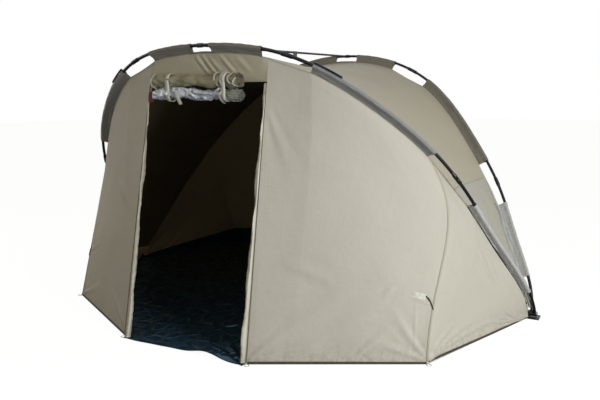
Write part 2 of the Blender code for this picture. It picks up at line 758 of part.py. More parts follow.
def floor_outline():
    """Lists the floor's corners, just inside the walls and lapping out under the door.

    Each corner at the back has the place on the wall that its turned-up rim reaches.
    """
    gap = FLOOR_GAP
    front = DOOR_CORNER_FORWARD
    right = [(DOOR_CORNER_HALF - gap, -front - FLOOR_DOOR_LAP),
             (DOOR_CORNER_HALF - gap, -front + 2 * gap),
             (SIDE_CORNER_HALF - 2 * gap, -SIDE_CORNER_FORWARD + 2 * gap),
             (HALF_SPAN - HUB_HEM_INSET - 2 * gap, -HUB_HEM_STEP),
             (HALF_SPAN - HUB_HEM_INSET - 2 * gap, HUB_HEM_STEP),
             (BACK_SIDE_CORNER_HALF - 2 * gap, BACK_SIDE_CORNER_BACK - 2 * gap),
             (BACK_CORNER_HALF - gap, BACK_CORNER_BACK - 2 * gap)]
    wall, flank = back_wall(), rear_flank(RIGHT)
    corner_share = STATION_CELLS[2] / (LAST_AT - 2 * SIDE_AT)
    risen = lambda surface, u, rim: surface(u, rim / surface(u, 1).z)
    tops = [None] * 4 + [risen(flank, 1, FLOOR_RIM_AT_HUB), risen(flank, 0, FLOOR_RIM),
                         risen(wall, corner_share, FLOOR_RIM)]
    places = []
    for (x, y), top in zip(right, tops):
        if top:
            shift = Vector((CABIN_CENTRE - top).xy).normalized() * 2 * FLOOR_GAP
            top = top + Vector((*shift, 0))
        places.append((Vector((x, y, 0)), top))
    flip = lambda place: place and Vector((-place.x, place.y, place.z))
    return places + [(flip(foot), flip(top)) for foot, top in reversed(places)]


def make_floor(material):
    """Makes the floor: a flat sheet whose back and side edges turn up the walls."""
    outline = floor_outline()
    bm = bmesh.new()
    bm.faces.new([bm.verts.new(foot) for foot, top in outline])
    rim = [edge for edge in bm.edges if all(vert.co.y > 0 for vert in edge.verts)]
    raised = bmesh.ops.extrude_edge_only(bm, edges=rim)
    for item in raised["geom"]:
        if isinstance(item, bmesh.types.BMVert):
            item.co = min(outline, key=lambda pair: (pair[0] - item.co).length)[1]
    bmesh.ops.recalc_face_normals(bm, faces=bm.faces[:])
    mesh = bpy.data.meshes.new("groundsheet")
    bm.to_mesh(mesh)
    bm.free()
    item = add_object("groundsheet", mesh, material, smooth=False)
    shell = item.modifiers.new("Cloth", "SOLIDIFY")
    shell.thickness = FLOOR_CLOTH
    shell.offset = FLOOR_SIDE
    shell.use_even_offset = True
    return item


def make_hubs(plastic, steel):
    """Makes a hub block on each side, with the pin that both legs turn on."""
    for side, word in SIDES:
        inner_face = REAR.half_width - HUB_EYE_THICKNESS / 2 - RUN_CLEARANCE
        outer_face = FRONT.half_width + HUB_EYE_THICKNESS / 2 + RUN_CLEARANCE
        cheek_middle = inner_face - HUB_CHEEK / 2
        tall = HUB_HEIGHT + HUB_BOSS_RADIUS
        place = Vector((side * cheek_middle, 0, tall / 2))
        hub = block(f"hub_{word}", place, (HUB_CHEEK, 2 * HUB_BOSS_RADIUS, tall), plastic)
        foot_middle = cheek_middle - HUB_CHEEK / 2 + HUB_FOOT_WIDTH / 2
        foot = block(f"hub_{word}_foot_form",
                     Vector((side * foot_middle, 0, HUB_FOOT_HEIGHT / 2)),
                     (HUB_FOOT_WIDTH, HUB_FOOT_LENGTH, HUB_FOOT_HEIGHT))
        axis = lambda x: Vector((side * x, 0, HUB_HEIGHT))
        bore = cylinder(f"hub_{word}_bore_form", axis(cheek_middle - HUB_CHEEK),
                        axis(cheek_middle + HUB_CHEEK), PIN_RADIUS + RUN_CLEARANCE)
        combine(combine(hub, foot, "UNION"), bore, "DIFFERENCE")
        pin = cylinder(f"hub_pin_{word}", axis(cheek_middle - HUB_CHEEK / 2 + CLOTH),
                       axis(outer_face + PIN_HEAD / 2), PIN_RADIUS, steel)
        head = cylinder(f"hub_pin_{word}_head_form", axis(outer_face),
                        axis(outer_face + PIN_HEAD), PIN_HEAD_RADIUS)
        combine(pin, head, "UNION")


def bar_line():
    """Returns the ridge bar's two pivots, on the sides of the crowns that face each other."""
    rear, front = REAR.point(math.pi / 2), FRONT.point(math.pi / 2)
    step = (front - rear).normalized() * (POLE_RADIUS + BAR_LIFT)
    return rear + step, front - step


def make_clip(name, rib, pivot, run, material):
    """Makes a clip on a rib's crown, with two ears that hold the bar's end."""
    crown = rib.point(math.pi / 2)
    across = Vector((1, 0, 0))
    up = (pivot - crown).normalized()
    face = up.cross(across)
    half_collar = across * CLIP_LENGTH / 2
    body = cylinder(name, crown - half_collar, crown + half_collar, CLIP_BODY / 2, material)
    tall = (pivot - crown).length + BAR_EYE_RADIUS
    wide = CLIP_SLOT + 2 * CLIP_EAR
    ears = block(f"{name}_ear_form", crown + up * tall / 2, (wide, CLIP_BODY / 2, tall),
                 axes=(across, face, up))
    slot_base = CLIP_BODY / 2
    slot_tall = tall - slot_base + CUT_OVERRUN
    slot = block(f"{name}_slot_form", crown + up * (slot_base + slot_tall / 2),
                 (CLIP_SLOT, CLIP_BODY * 2, slot_tall), axes=(across, face, up))
    half_bore = across * (CLIP_LENGTH / 2 + CUT_OVERRUN)
    pole = cylinder(f"{name}_pole_form", crown - half_bore, crown + half_bore,
                    POLE_RADIUS + CLIP_CLEARANCE)
    pin_bore = cylinder(f"{name}_pin_form", pivot - half_bore, pivot + half_bore,
                        BAR_PIN_RADIUS + RUN_CLEARANCE, sides=12)
    combine(body, ears, "UNION")
    for cutter in (slot, pole, pin_bore):
        combine(body, cutter, "DIFFERENCE")
    return body


def make_ridge(plastic, bar_material, cloth_material):
    """Makes the bar that holds the ribs apart, with its clips, pin and roof tab."""
    rear, front = bar_line()
    run = (front - rear).normalized()
    across = Vector((1, 0, 0))
    make_clip("ridge_clip_rear", REAR, rear, run, plastic)
    make_clip("ridge_clip_front", FRONT, front, run, plastic)
    half_eye = across * (CLIP_SLOT / 2 - RUN_CLEARANCE)
    bar = cylinder("ridge_bar", rear, front, BAR_DIAMETER / 2, bar_material)
    for index, pivot in enumerate((rear, front)):
        eye = cylinder(f"ridge_bar_eye_form_{index}", pivot - half_eye, pivot + half_eye,
                       BAR_EYE_RADIUS)
        combine(bar, eye, "UNION")
    for index, pivot in enumerate((rear, front)):
        bore = cylinder(f"ridge_bar_bore_form_{index}", pivot - 2 * half_eye,
                        pivot + 2 * half_eye, BAR_PIN_RADIUS + RUN_CLEARANCE, sides=12)
        combine(bar, bore, "DIFFERENCE")
    pin_half = across * (CLIP_SLOT / 2 + CLIP_EAR)
    cylinder("ridge_pin", rear - pin_half, rear + pin_half, BAR_PIN_RADIUS, plastic, sides=12)
    up = run.cross(across)
    up = up if up.z > 0 else -up
    hold = BAR_DIAMETER / 2 + SEAT_GAP
    middle = rear.lerp(front, TAB_SHARE)
    tab = cylinder("ridge_tab", middle - run * TAB_WIDTH / 2, middle + run * TAB_WIDTH / 2,
                   hold + TAB_CLOTH, cloth_material)
    drop = hold + TAB_LENGTH
    hanger = block("ridge_tab_hanger_form", middle - up * drop / 2,
                   (HANGER_CLOTH, TAB_WIDTH, drop), axes=(across, run, up))
    inside = cylinder("ridge_tab_bore_form", middle - run * TAB_WIDTH,
                      middle + run * TAB_WIDTH, hold)
    combine(combine(tab, hanger, "UNION"), inside, "DIFFERENCE")


def make_rings(material):
    """Makes a peg ring at each front corner, flat on the ground just past the hem."""
    corners = {"door": (DOOR_CORNER_HALF, -DOOR_CORNER_FORWARD),
               "side": (SIDE_CORNER_HALF, -SIDE_CORNER_FORWARD)}
    reach = RING_RADIUS + RING_WIRE / 2 + SEAT_GAP
    for kind, (half, back) in corners.items():
        for side, word in SIDES:
            corner = ground(half, back, side)
            away, aside = corner.normalized(), Vector()
            if kind == "door":
                hem = (ground(SIDE_CORNER_HALF, -SIDE_CORNER_FORWARD, side) - corner).normalized()
                away = Vector((side * hem.y, -side * hem.x, 0))
                aside = hem * RING_ASIDE
            centre = corner + away * reach + aside + Vector((0, 0, RING_WIRE / 2))
            bpy.ops.mesh.primitive_torus_add(major_radius=RING_RADIUS, location=centre,
                                             minor_radius=RING_WIRE / 2, major_segments=20,
                                             minor_segments=8)
            ring = bpy.context.object
            ring.name = f"peg_ring_{kind}_{word}"
            for collection in list(ring.users_collection):
                collection.objects.unlink(ring)
            PARTS.objects.link(ring)
            ring.data.materials.append(material)
            ring.data.shade_smooth()


def make_knuckles(material):
    """Makes the black stiffening rod that lies along the top of each shoulder sleeve."""
    facets = [WRAP_START_DEG - WRAP_STEP_DEG * (i + 0.5) for i in range(WRAP_COUNT)]
    tilt = math.radians(min(abs(facet) for facet in facets))
    sleeve = (POLE_RADIUS + SLEEVE_CLEARANCE + SLEEVE_CLOTH) / math.cos(tilt)
    out = sleeve + KNUCKLE_DIAMETER / 2 + SEAT_GAP
    low, high = KNUCKLE_SPAN
    for side, word in SIDES:
        angles = FRONT.angles(mirrored(low, side), mirrored(high, side))
        tube(f"shoulder_rod_{word}", [FRONT.point(a, out) for a in angles],
             [KNUCKLE_DIAMETER / 2] * len(angles), material)


def make_guy_tabs(material):
    """Makes a guy tab on a short neck, lying on the front panel beside each side seam."""
    length = GUY_TAB_LENGTH + GUY_CORD_LENGTH
    neck = GUY_CORD_LENGTH / length
    for side, word in SIDES:
        panel = front_panel(side)
        wide = (panel(1, GUY_TAB_SHARE) - panel(0, GUY_TAB_SHARE)).length
        tall = (panel(1, 1) - panel(1, 0)).length

        def tab(u, w, panel=panel, wide=wide, tall=tall):
            width = GUY_CORD_WIDTH if u < neck else GUY_TAB_WIDTH
            place = panel(1 - u * length / wide, GUY_TAB_SHARE + (w - 0.5) * width / tall)
            return place - inward(place) * (GUY_STAND_OFF + GUY_TAB_CLOTH)

        cloth(f"guy_tab_{word}", tab, 6, 1, material, thickness=GUY_TAB_CLOTH)


def make_tension_straps(material):
    """Makes the strap that draws each front corner down to its hub, inside the legs."""
    for side, word in SIDES:
        start = TENSION_STRAP_START / FRONT.reach
        end = FRONT_LEG_SLEEVE[0]
        count = 4

        def strap(u, w, side=side):
            angle = mirrored(start + (end - start - STRAP_OFFSET / FRONT.reach) * u, side)
            out = -POLE_RADIUS - STRAP_STAND_OFF - TENSION_STRAP_WIDTH * (1 - w)
            return FRONT.point(angle, out)

        aside = lambda place: FRONT.normal
        cloth(f"tension_strap_{word}", strap, count, 1, material, direction=aside)


clear_scene()
PARTS = make_collection("bivvy_tent")
CUTTERS = make_collection("bivvy_tent_cutters")


def main():
    shell = make_material("tan_shell", (0.36, 0.32, 0.24), 0.75)
    web = make_material("grey_web", (0.15, 0.14, 0.13), 0.85)
    floor = make_material("dark_floor", (0.012, 0.02, 0.035), 0.35)
    black = make_material("black_plastic", (0.02, 0.02, 0.022), 0.45)
    pole = make_material("black_pole", (0.025, 0.025, 0.028), 0.35, 0.3)
    clear = make_material("clear_window", (0.75, 0.78, 0.82), 0.2)
    pale = make_material("pale_webbing", (0.62, 0.58, 0.50), 0.8)
    steel = make_material("steel", (0.45, 0.45, 0.46), 0.35, 1.0)
    make_rib("front", FRONT, (FRONT_LEG_SLEEVE[1] + FRONT_SHOULDER_SLEEVE[0]) / 2,
             (FRONT_SHOULDER_SLEEVE[1] + FRONT_CROWN_SLEEVE_START) / 2, pole)
    make_rib("rear", REAR, (REAR_LEG_SLEEVE[1] + REAR_SHOULDER_SLEEVE[0]) / 2,
             (REAR_SHOULDER_SLEEVE[1] + REAR_CROWN_SLEEVE_START) / 2, pole)
    make_sleeves("front", FRONT, FRONT_LEG_SLEEVE, FRONT_SHOULDER_SLEEVE,
                 FRONT_CROWN_SLEEVE_START, web)
    make_sleeves("rear", REAR, REAR_LEG_SLEEVE, REAR_SHOULDER_SLEEVE,
                 REAR_CROWN_SLEEVE_START, web)
    make_roof(shell)
    make_front_walls(shell)
    make_rear_walls(shell)
    make_header(shell)
    make_flaps(pale)
    make_sliders(steel)
    make_door(shell, clear, pale)
    make_floor(floor)
    make_hubs(black, steel)
    make_ridge(black, pole, web)
    make_rings(steel)
    make_knuckles(black)
    make_guy_tabs(pale)
    make_tension_straps(web)


main()
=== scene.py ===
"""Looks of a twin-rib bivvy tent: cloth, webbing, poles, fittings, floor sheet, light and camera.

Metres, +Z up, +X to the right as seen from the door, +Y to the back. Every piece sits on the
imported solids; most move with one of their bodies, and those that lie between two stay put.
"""
import math

import bmesh
import bpy
import numpy as np
from mathutils import Matrix, Vector


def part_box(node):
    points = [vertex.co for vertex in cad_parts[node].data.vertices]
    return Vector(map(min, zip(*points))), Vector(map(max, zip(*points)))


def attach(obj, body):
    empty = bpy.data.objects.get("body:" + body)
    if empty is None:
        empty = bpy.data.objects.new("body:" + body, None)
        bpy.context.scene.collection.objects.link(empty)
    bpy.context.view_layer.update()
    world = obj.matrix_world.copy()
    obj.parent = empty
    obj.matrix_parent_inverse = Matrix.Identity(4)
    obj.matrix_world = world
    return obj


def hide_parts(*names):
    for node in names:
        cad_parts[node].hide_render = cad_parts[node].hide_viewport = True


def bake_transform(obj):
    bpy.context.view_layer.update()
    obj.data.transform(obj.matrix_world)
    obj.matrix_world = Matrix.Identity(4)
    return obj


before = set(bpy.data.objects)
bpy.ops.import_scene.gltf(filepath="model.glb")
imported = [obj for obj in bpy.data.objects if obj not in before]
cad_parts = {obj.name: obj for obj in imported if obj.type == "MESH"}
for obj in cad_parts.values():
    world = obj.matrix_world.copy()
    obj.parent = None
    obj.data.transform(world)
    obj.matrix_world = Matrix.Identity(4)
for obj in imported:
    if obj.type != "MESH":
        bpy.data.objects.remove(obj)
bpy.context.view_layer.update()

# Frame of the shelter
HUB_SPAN = 3.11
HUB_HEIGHT = 0.024
RIB_SIDE_STEP = 0.0192
FRONT_REACH, REAR_REACH = 1.9434, 1.7557
FRONT_LEAN_DEG, REAR_LEAN_DEG = -36.8, 23.8
FRONT_SHARES = (-0.0299, 0.0109, 0.0143, 0.0061, 0.0065)
REAR_SHARES = (-0.1805, 0.0603, 0.0007, 0.0035, 0.0059)
POLE_RADIUS = 0.009
FERRULE_RADIUS, FERRULE_HALF = 0.0115, 0.035
FRONT_HUB_END, REAR_HUB_END = 0.05, 0.073
FRONT_SLEEVES = ((0.113, 0.52), (0.737, 1.176), 1.345)
REAR_SLEEVES = ((0.174, 0.549), (0.771, 1.218), 1.371)
FRONT_SEAMS = (0.593, 0.727, 1.3225)
REAR_SEAMS = (0.6995, 0.82, 1.371)
STATION_CELLS = (6, 1, 5, 4)
FRONT_WEBS = ((0, 0.036), (0.113, 0.046), (0.52, 0.046), (0.8, 0.050), (1.57, 0.050))
REAR_WEBS = ((0, 0.046), (0.174, 0.064), (0.549, 0.066), (0.8, 0.056), (1.57, 0.054))
VENT_HALF, VENT_STRIP = 0.072, 0.013

# Cloth cut
ROOF_SAG, WING_SAG = 0.055, 0.02
WALL_BILLOW, REAR_BILLOW = -0.012, 0.03
SEAM_SLACK, GUSSET_BULGE = 0.004, 0.012
SEAM_BOW_OUT, SEAM_BOW_BACK, SEAM_BOW_SHARE = 0.078, 0.08, 0.69
CABIN_CENTRE = np.array((0, 0, 0.55))
DOOR_CORNER = (0.397, -1.387)
SIDE_CORNER = (1.194, -0.961)
BACK_SIDE_CORNER = (1.29, 1.05)
BACK_CORNER = (0.44, 1.42)
HUB_HEM_INSET, HUB_HEM_OFF = 0.034, 0.046
HUB_HEM = (HUB_SPAN / 2 - HUB_HEM_INSET, HUB_HEM_OFF)
HEADER_SHARE, HEADER_LOW = 0.945, 0.928
LEFT, RIGHT = -1, 1
SIDES = ((RIGHT, "right"), (LEFT, "left"))


# Shapes of the shelter

class Arch:
    """One bent rib, read at angles from its right-hand hub."""

    def __init__(self, half_width, reach, lean_deg, shares, sleeves, hub_end, webs):
        self.half_width, self.reach, self.shares = half_width, reach, shares
        self.hub_end, self.webs = hub_end, np.array(webs).T
        lean = math.radians(lean_deg)
        self.up = np.array((0, math.sin(lean), math.cos(lean)))
        self.normal = np.array((0, -math.cos(lean), math.sin(lean)))
        (_, leg_top), (low, high), crown = sleeves
        gaps = [(leg_top, low), (high, crown)]
        self.gaps = gaps + [(math.pi - b, math.pi - a) for a, b in gaps]

    def ratio(self, angle):
        """The rib's size at an angle, against its size at the hub."""
        waves = enumerate(self.shares, start=1)
        return 1 + sum(share * (np.cos(2 * k * angle) - 1) for k, share in waves)

    def flat(self, angle):
        """Places in the rib's own plane, across and up it."""
        ratio = self.ratio(angle)
        along = self.reach * ratio / self.ratio(math.pi / 2) * np.sin(angle)
        return self.half_width * ratio * np.cos(angle), along

    def point(self, angle, out=0.0, side=0.0):
        """Places on the rib, moved outward in its plane and aside from it."""
        angle, out, side = np.broadcast_arrays(np.asarray(angle, float), out, side)
        step = 1e-4
        (x0, y0), (x1, y1) = self.flat(angle - step), self.flat(angle + step)
        run = np.hypot(x1 - x0, y1 - y0)
        ox, oy = (y1 - y0) / run, -(x1 - x0) / run
        x, y = self.flat(angle)
        place = (y + oy * out)[..., None] * self.up + side[..., None] * self.normal
        place[..., 0] += x + ox * out
        place[..., 2] += HUB_HEIGHT
        return place

    def web(self, angle):
        """Depth of the sleeves' web at an angle, the same on both sides."""
        return np.interp(np.minimum(angle, math.pi - angle), *self.webs)

    def seam(self, angle):
        """The cloth's edge: it follows the sleeves, and is drawn straight in the gaps."""
        angle = np.asarray(angle, float)
        place = self.point(angle, -self.web(angle))
        for low, high in self.gaps:
            share = (angle - low) / (high - low)
            inside = ((share > 0) & (share < 1))[..., None]
            stops = np.array((low, high))
            ends = self.point(stops, -self.web(stops))
            taut = ends[0] + (ends[1] - ends[0]) * share[..., None]
            slack = SEAM_SLACK * np.sin(math.pi * np.clip(share, 0, 1))[..., None]
            place = np.where(inside, taut + slack * inward(taut), place)
        return place


def shares_of(u, w):
    """A surface's shares across and up, as arrays of one shape."""
    return np.broadcast_arrays(np.asarray(u, float), np.asarray(w, float))


def inward(place):
    """The way from a place to the middle of the cabin."""
    way = CABIN_CENTRE - place
    return way / np.linalg.norm(way, axis=-1, keepdims=True)


FRONT = Arch(HUB_SPAN / 2 + RIB_SIDE_STEP / 2, FRONT_REACH, FRONT_LEAN_DEG, FRONT_SHARES,
             FRONT_SLEEVES, FRONT_HUB_END, FRONT_WEBS)
REAR = Arch(HUB_SPAN / 2 - RIB_SIDE_STEP / 2, REAR_REACH, REAR_LEAN_DEG, REAR_SHARES,
            REAR_SLEEVES, REAR_HUB_END, REAR_WEBS)


def stations(hub_end, seams):
    """Angles where the panels of one rib have their seams and cells."""
    stops, half = (hub_end, *seams), []
    for start, end, cells in zip(stops, stops[1:], STATION_CELLS):
        half += [start + (end - start) * i / cells for i in range(cells)]
    door, middle = seams[-1], STATION_CELLS[-1]
    crown = [door + (math.pi - 2 * door) * i / middle for i in range(middle + 1)]
    return half + crown + [math.pi - angle for angle in reversed(half)]


FRONT_STATIONS = stations(FRONT_HUB_END, FRONT_SEAMS)
REAR_STATIONS = stations(REAR_HUB_END, REAR_SEAMS)
WING_AT = STATION_CELLS[0]
SIDE_AT = WING_AT + STATION_CELLS[1]
DOOR_AT = SIDE_AT + STATION_CELLS[2]
LAST_AT = len(FRONT_STATIONS) - 1


def mirrored(angle, side):
    """An angle of the right half, or the same place's angle on the left."""
    return angle if side == RIGHT else math.pi - angle


def along(arch, angles):
    """The cloth's edge on a rib, from its first angle to its last."""
    shares = np.linspace(0, 1, len(angles))
    return lambda share: arch.seam(np.interp(share, shares, angles))


def ground(corner, side):
    """A corner of the hem, on the ground at one side."""
    return np.array((side * corner[0], corner[1], 0.0))


def line(start, end):
    start, end = np.asarray(start, float), np.asarray(end, float)
    return lambda share: start + (end - start) * np.asarray(share, float)[..., None]


def bowed(start, end, bow, peak=0.5):
    """A line that is bowed, the most at its peak's share."""
    power = math.log(0.5) / math.log(peak)
    straight = line(start, end)

    def read(share):
        share = np.clip(np.asarray(share, float), 0, 1)
        return straight(share) + np.array(bow) * np.sin(math.pi * share ** power)[..., None]

    return read


def through(places, cells):
    """A line of straight stretches, each as long in shares as its count of cells."""
    shares = np.concatenate(([0], np.cumsum(cells))) / sum(cells)
    places = np.array(places)

    def read(share):
        share = np.asarray(share, float)
        return np.stack([np.interp(share, shares, places[:, axis]) for axis in range(3)], -1)

    return read


def coons(bottom, top, start, end, billow=0.0):
    """Fills four joined edges, with the middle billowed away from the cabin."""

    def read(u, w):
        u, w = shares_of(u, w)
        uu, ww = u[..., None], w[..., None]
        ruled_up = bottom(u) * (1 - ww) + top(u) * ww
        ruled_across = start(w) * (1 - uu) + end(w) * uu
        low = bottom(0.0) * (1 - uu) + bottom(1.0) * uu
        high = top(0.0) * (1 - uu) + top(1.0) * uu
        place = ruled_up + ruled_across - (low * (1 - ww) + high * ww)
        full = billow * (np.sin(math.pi * u) * np.sin(math.pi * w))[..., None]
        return place - inward(place) * full

    return read


def side_seam(side):
    """The seam between a front panel and its side panel."""
    head = FRONT.seam(mirrored(FRONT_SEAMS[1], side))
    return bowed(ground(SIDE_CORNER, side), head, (side * SEAM_BOW_OUT, SEAM_BOW_BACK, 0),
                 SEAM_BOW_SHARE)


def rear_seam(side):
    """The seam between a rear side panel and the back wall."""
    head = REAR.seam(mirrored(REAR_SEAMS[1], side))
    return bowed(ground(BACK_SIDE_CORNER, side), head, (side * REAR_BILLOW, REAR_BILLOW, 0))


def jamb(side):
    """One edge of the doorway, from the ground to the front rib."""
    return line(ground(DOOR_CORNER, side), FRONT.seam(mirrored(FRONT_SEAMS[2], side)))


def run_of(angles, side):
    return [mirrored(angle, side) for angle in angles]


def front_panel(side):
    """The front wall from an edge of the doorway to the side seam."""
    door = run_of(FRONT_STATIONS[SIDE_AT:DOOR_AT + 1][::-1], side)
    hem = line(ground(DOOR_CORNER, side), ground(SIDE_CORNER, side))
    return coons(hem, along(FRONT, door), jamb(side), side_seam(side), WALL_BILLOW)


def hub_edge(arch, side, back):
    """Where a side panel ends at a hub: its foot, and its edge up to the rib."""
    foot = np.array((side * HUB_HEM[0], back * HUB_HEM[1], 0.0))
    return foot, line(foot, arch.seam(mirrored(arch.hub_end, side)))


def front_gore(side):
    """The front side panel, from the side seam to a hub."""
    foot, edge = hub_edge(FRONT, side, -1)
    flank = run_of(FRONT_STATIONS[:SIDE_AT + 1][::-1], side)
    return coons(line(ground(SIDE_CORNER, side), foot), along(FRONT, flank), side_seam(side),
                 edge, WALL_BILLOW)


def rear_gore(side):
    """The rear side panel, from the rear seam to a hub."""
    foot, edge = hub_edge(REAR, side, 1)
    flank = run_of(REAR_STATIONS[:SIDE_AT + 1][::-1], side)
    return coons(line(ground(BACK_SIDE_CORNER, side), foot), along(REAR, flank),
                 rear_seam(side), edge, REAR_BILLOW)


def hub_gusset(side):
    """The narrow piece over a hub, between the front and rear side panels."""
    (_, fore), (_, aft) = hub_edge(FRONT, side, -1), hub_edge(REAR, side, 1)

    def read(u, w):
        u, w = shares_of(u, w)
        place = fore(w) * (1 - u[..., None]) + aft(w) * u[..., None]
        place = place - inward(place) * (GUSSET_BULGE * np.sin(math.pi * u))[..., None]
        place[..., 2] = np.maximum(place[..., 2], 0.0)
        return place

    return read


def back_wall():
    """The wall behind, between the two rear seams."""
    feet = [ground(BACK_SIDE_CORNER, RIGHT), ground(BACK_CORNER, RIGHT),
            ground(BACK_CORNER, LEFT), ground(BACK_SIDE_CORNER, LEFT)]
    angles = REAR_STATIONS[SIDE_AT:LAST_AT - SIDE_AT + 1]
    cells = STATION_CELLS[2:] + STATION_CELLS[2:3]
    return coons(through(feet, cells), along(REAR, angles), rear_seam(RIGHT), rear_seam(LEFT),
                 REAR_BILLOW)


def roof(first, last, sag):
    """The cloth between the ribs, from one station to another."""
    fore = along(FRONT, FRONT_STATIONS[first:last + 1])
    aft = along(REAR, REAR_STATIONS[first:last + 1])

    def read(u, w):
        u, w = shares_of(u, w)
        place = fore(u) * (1 - w[..., None]) + aft(u) * w[..., None]
        return place + inward(place) * (sag(u) * np.sin(math.pi * w))[..., None]

    return read


def header():
    """The low panel between the doorway and the front rib."""
    edges = {side: jamb(side) for side, _ in SIDES}
    edge = lambda side: lambda w: edges[side](HEADER_LOW + (1 - HEADER_LOW) * np.asarray(w))
    low = line(edges[RIGHT](HEADER_LOW), edges[LEFT](HEADER_LOW))
    angles = FRONT_STATIONS[DOOR_AT:LAST_AT - DOOR_AT + 1]
    return coons(low, along(FRONT, angles), edge(RIGHT), edge(LEFT))


# Folds in cloth

WAVES, PACES = 9, (0.6, 1.5)
PINNED_START, PINNED_FADE, FADE_SHAPE = 0.3, 0.45, 0.8
TROUGH_DEPTH, TROUGH_AWAY, LOPSIDED = 0.45, 1.9, 0.15


def drift(x, y, scale, seed):
    """A smooth random field of about -1 to 1, whose lumps are about one scale across."""
    rng = np.random.default_rng(seed)
    field = 0
    for _ in range(WAVES):
        turn, phase = rng.uniform(0, 2 * math.pi, 2)
        pace = rng.uniform(*PACES) * math.pi / scale
        field = field + np.sin((x * math.cos(turn) + y * math.sin(turn)) * pace + phase)
    return field / math.sqrt(WAVES)


def fold(x, y, start, end, width, height, pinned):
    """A soft crease between two places; a pinned one starts sharp and opens out."""
    start, end = np.array(start), np.array(end)
    run = end - start
    share = ((x - start[0]) * run[0] + (y - start[1]) * run[1]) / (run @ run)
    held = np.clip(share, 0, 1)
    off = np.hypot(x - start[0] - run[0] * held, y - start[1] - run[1] * held)
    side = np.sign((x - start[0]) * run[1] - (y - start[1]) * run[0])
    spread = width * (PINNED_START + (1 - PINNED_START) * held) if pinned else width
    fade = np.sin(math.pi * held ** (PINNED_FADE if pinned else 1)) ** FADE_SHAPE
    trough = np.exp(-((off - TROUGH_AWAY * spread) / spread) ** 2)
    shape = np.exp(-(off / spread) ** 2) - TROUGH_DEPTH * trough
    return height * fade * shape * (1 + LOPSIDED * side)


def smooth(value, low, high):
    """A step from 0 to 1 between two values, with no corner at either end."""
    share = np.clip((value - low) / (high - low), 0, 1)
    return share * share * (3 - 2 * share)


# Meshes

CAP_SHARP, EYE_SHARP = math.radians(50), math.radians(40)
TAPE_SECTION = ((-0.5, 0), (-0.5, 0.6), (-0.44, 1), (0, 1.15), (0.44, 1), (0.5, 0.6), (0.5, 0))
RING_SIDES, WIRE_SIDES, JOIN_WITHIN = 28, 12, 1e-6


def settle(item, body=None, blend=None, replaces=(), slot=None):
    """Hides the nodes a piece stands for and gives it its body, or bakes its place if it lies
    between two. The slot is not used.
    """
    for node in replaces:
        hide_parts(node)
    if blend:
        tie(item, *blend)
    elif body:
        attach(item, body)
    return item


def new_object(name, mesh, material, **facts):
    """Links a piece with its finish and its facts."""
    item = bpy.data.objects.new(name, mesh)
    bpy.context.scene.collection.objects.link(item)
    mesh.materials.append(material)
    return settle(item, **facts)


def tie(item, body_a, body_b, start, end):
    """Bakes a piece's place into its mesh; the two bodies and the start and end places are not
    used.
    """
    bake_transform(item)


def grid_mesh(name, places, uv, closed_across=False):
    """A smooth mesh from rows of places, with a UV map in metres."""
    rows, cols = places.shape[:2]
    mesh = bpy.data.meshes.new(name)
    index = np.arange(rows * cols).reshape(rows, cols)
    if closed_across:
        index = np.concatenate((index, index[:, :1]), 1)
        uv = np.concatenate((uv, uv[:, -1:] + (uv[:, -1:] - uv[:, -2:-1])), 1)
    corners = (np.s_[:-1, :-1], np.s_[:-1, 1:], np.s_[1:, 1:], np.s_[1:, :-1])
    quads = np.stack([index[cut] for cut in corners], -1).reshape(-1, 4)
    mesh.from_pydata(places.reshape(-1, 3).tolist(), [], quads.tolist())
    layer = mesh.uv_layers.new(name="cloth_metres")
    flat = np.stack([uv[cut] for cut in corners], -2).reshape(-1, 2)
    layer.data.foreach_set("uv", flat.astype(np.float32).ravel())
    mesh.shade_smooth()
    return mesh


def outward(places, normal):
    """Normals turned away from the middle of the cabin."""
    return normal if ((places - CABIN_CENTRE) * normal).sum(-1).mean() > 0 else -normal


def normals_of(places):
    """Unit normals of a grid of places, turned outward."""
    across = np.gradient(places, axis=1)
    up = np.gradient(places, axis=0)
    normal = np.cross(across, up)
    normal /= np.maximum(np.linalg.norm(normal, axis=-1, keepdims=True), 1e-12)
    return outward(places, normal)


def area_of(places):
    """Area of a grid of places."""
    a, b, c, d = places[:-1, :-1], places[:-1, 1:], places[1:, 1:], places[1:, :-1]
    halves = np.linalg.norm(np.cross(b - a, d - a), axis=-1) + np.linalg.norm(
        np.cross(b - c, d - c), axis=-1)
    return float(halves.sum() / 2)


def cut_of(places):
    """Width, length and area of the flat cut that a smooth grid of cloth needs."""
    widths = np.linalg.norm(np.diff(places, axis=1), axis=-1).sum(1)
    lengths = np.linalg.norm(np.diff(places, axis=0), axis=-1).sum(0)
    return float(widths.max()), float(lengths.max()), area_of(places)


def cloth(name, surface, cols, rows, material, folds=None, body=None, blend=None,
          replaces=(), slot="shell_cloth", held="stretched", rests_on=()):
    """A panel of cloth from a surface over the unit square, with its folds."""
    u, w = np.meshgrid(np.linspace(0, 1, cols + 1), np.linspace(0, 1, rows + 1))
    places = surface(u, w)
    width, length, area = cut_of(places)
    x, y = u * width, w * length
    out = normals_of(places)
    if folds:
        places = places + out * folds(x, y, u, w, width, length)[..., None]
    uv = np.stack((x, y), -1)
    faces = np.cross(places[0, 1] - places[0, 0], places[1, 0] - places[0, 0])
    if faces @ out[0, 0] < 0:
        places, uv = places[:, ::-1], uv[:, ::-1]
    mesh = grid_mesh(name, places, uv)
    item = new_object(name, mesh, material, body=body, blend=blend, replaces=replaces, slot=slot)
    cuts[name] = (item, width, length, area, held, list(rests_on))
    return item


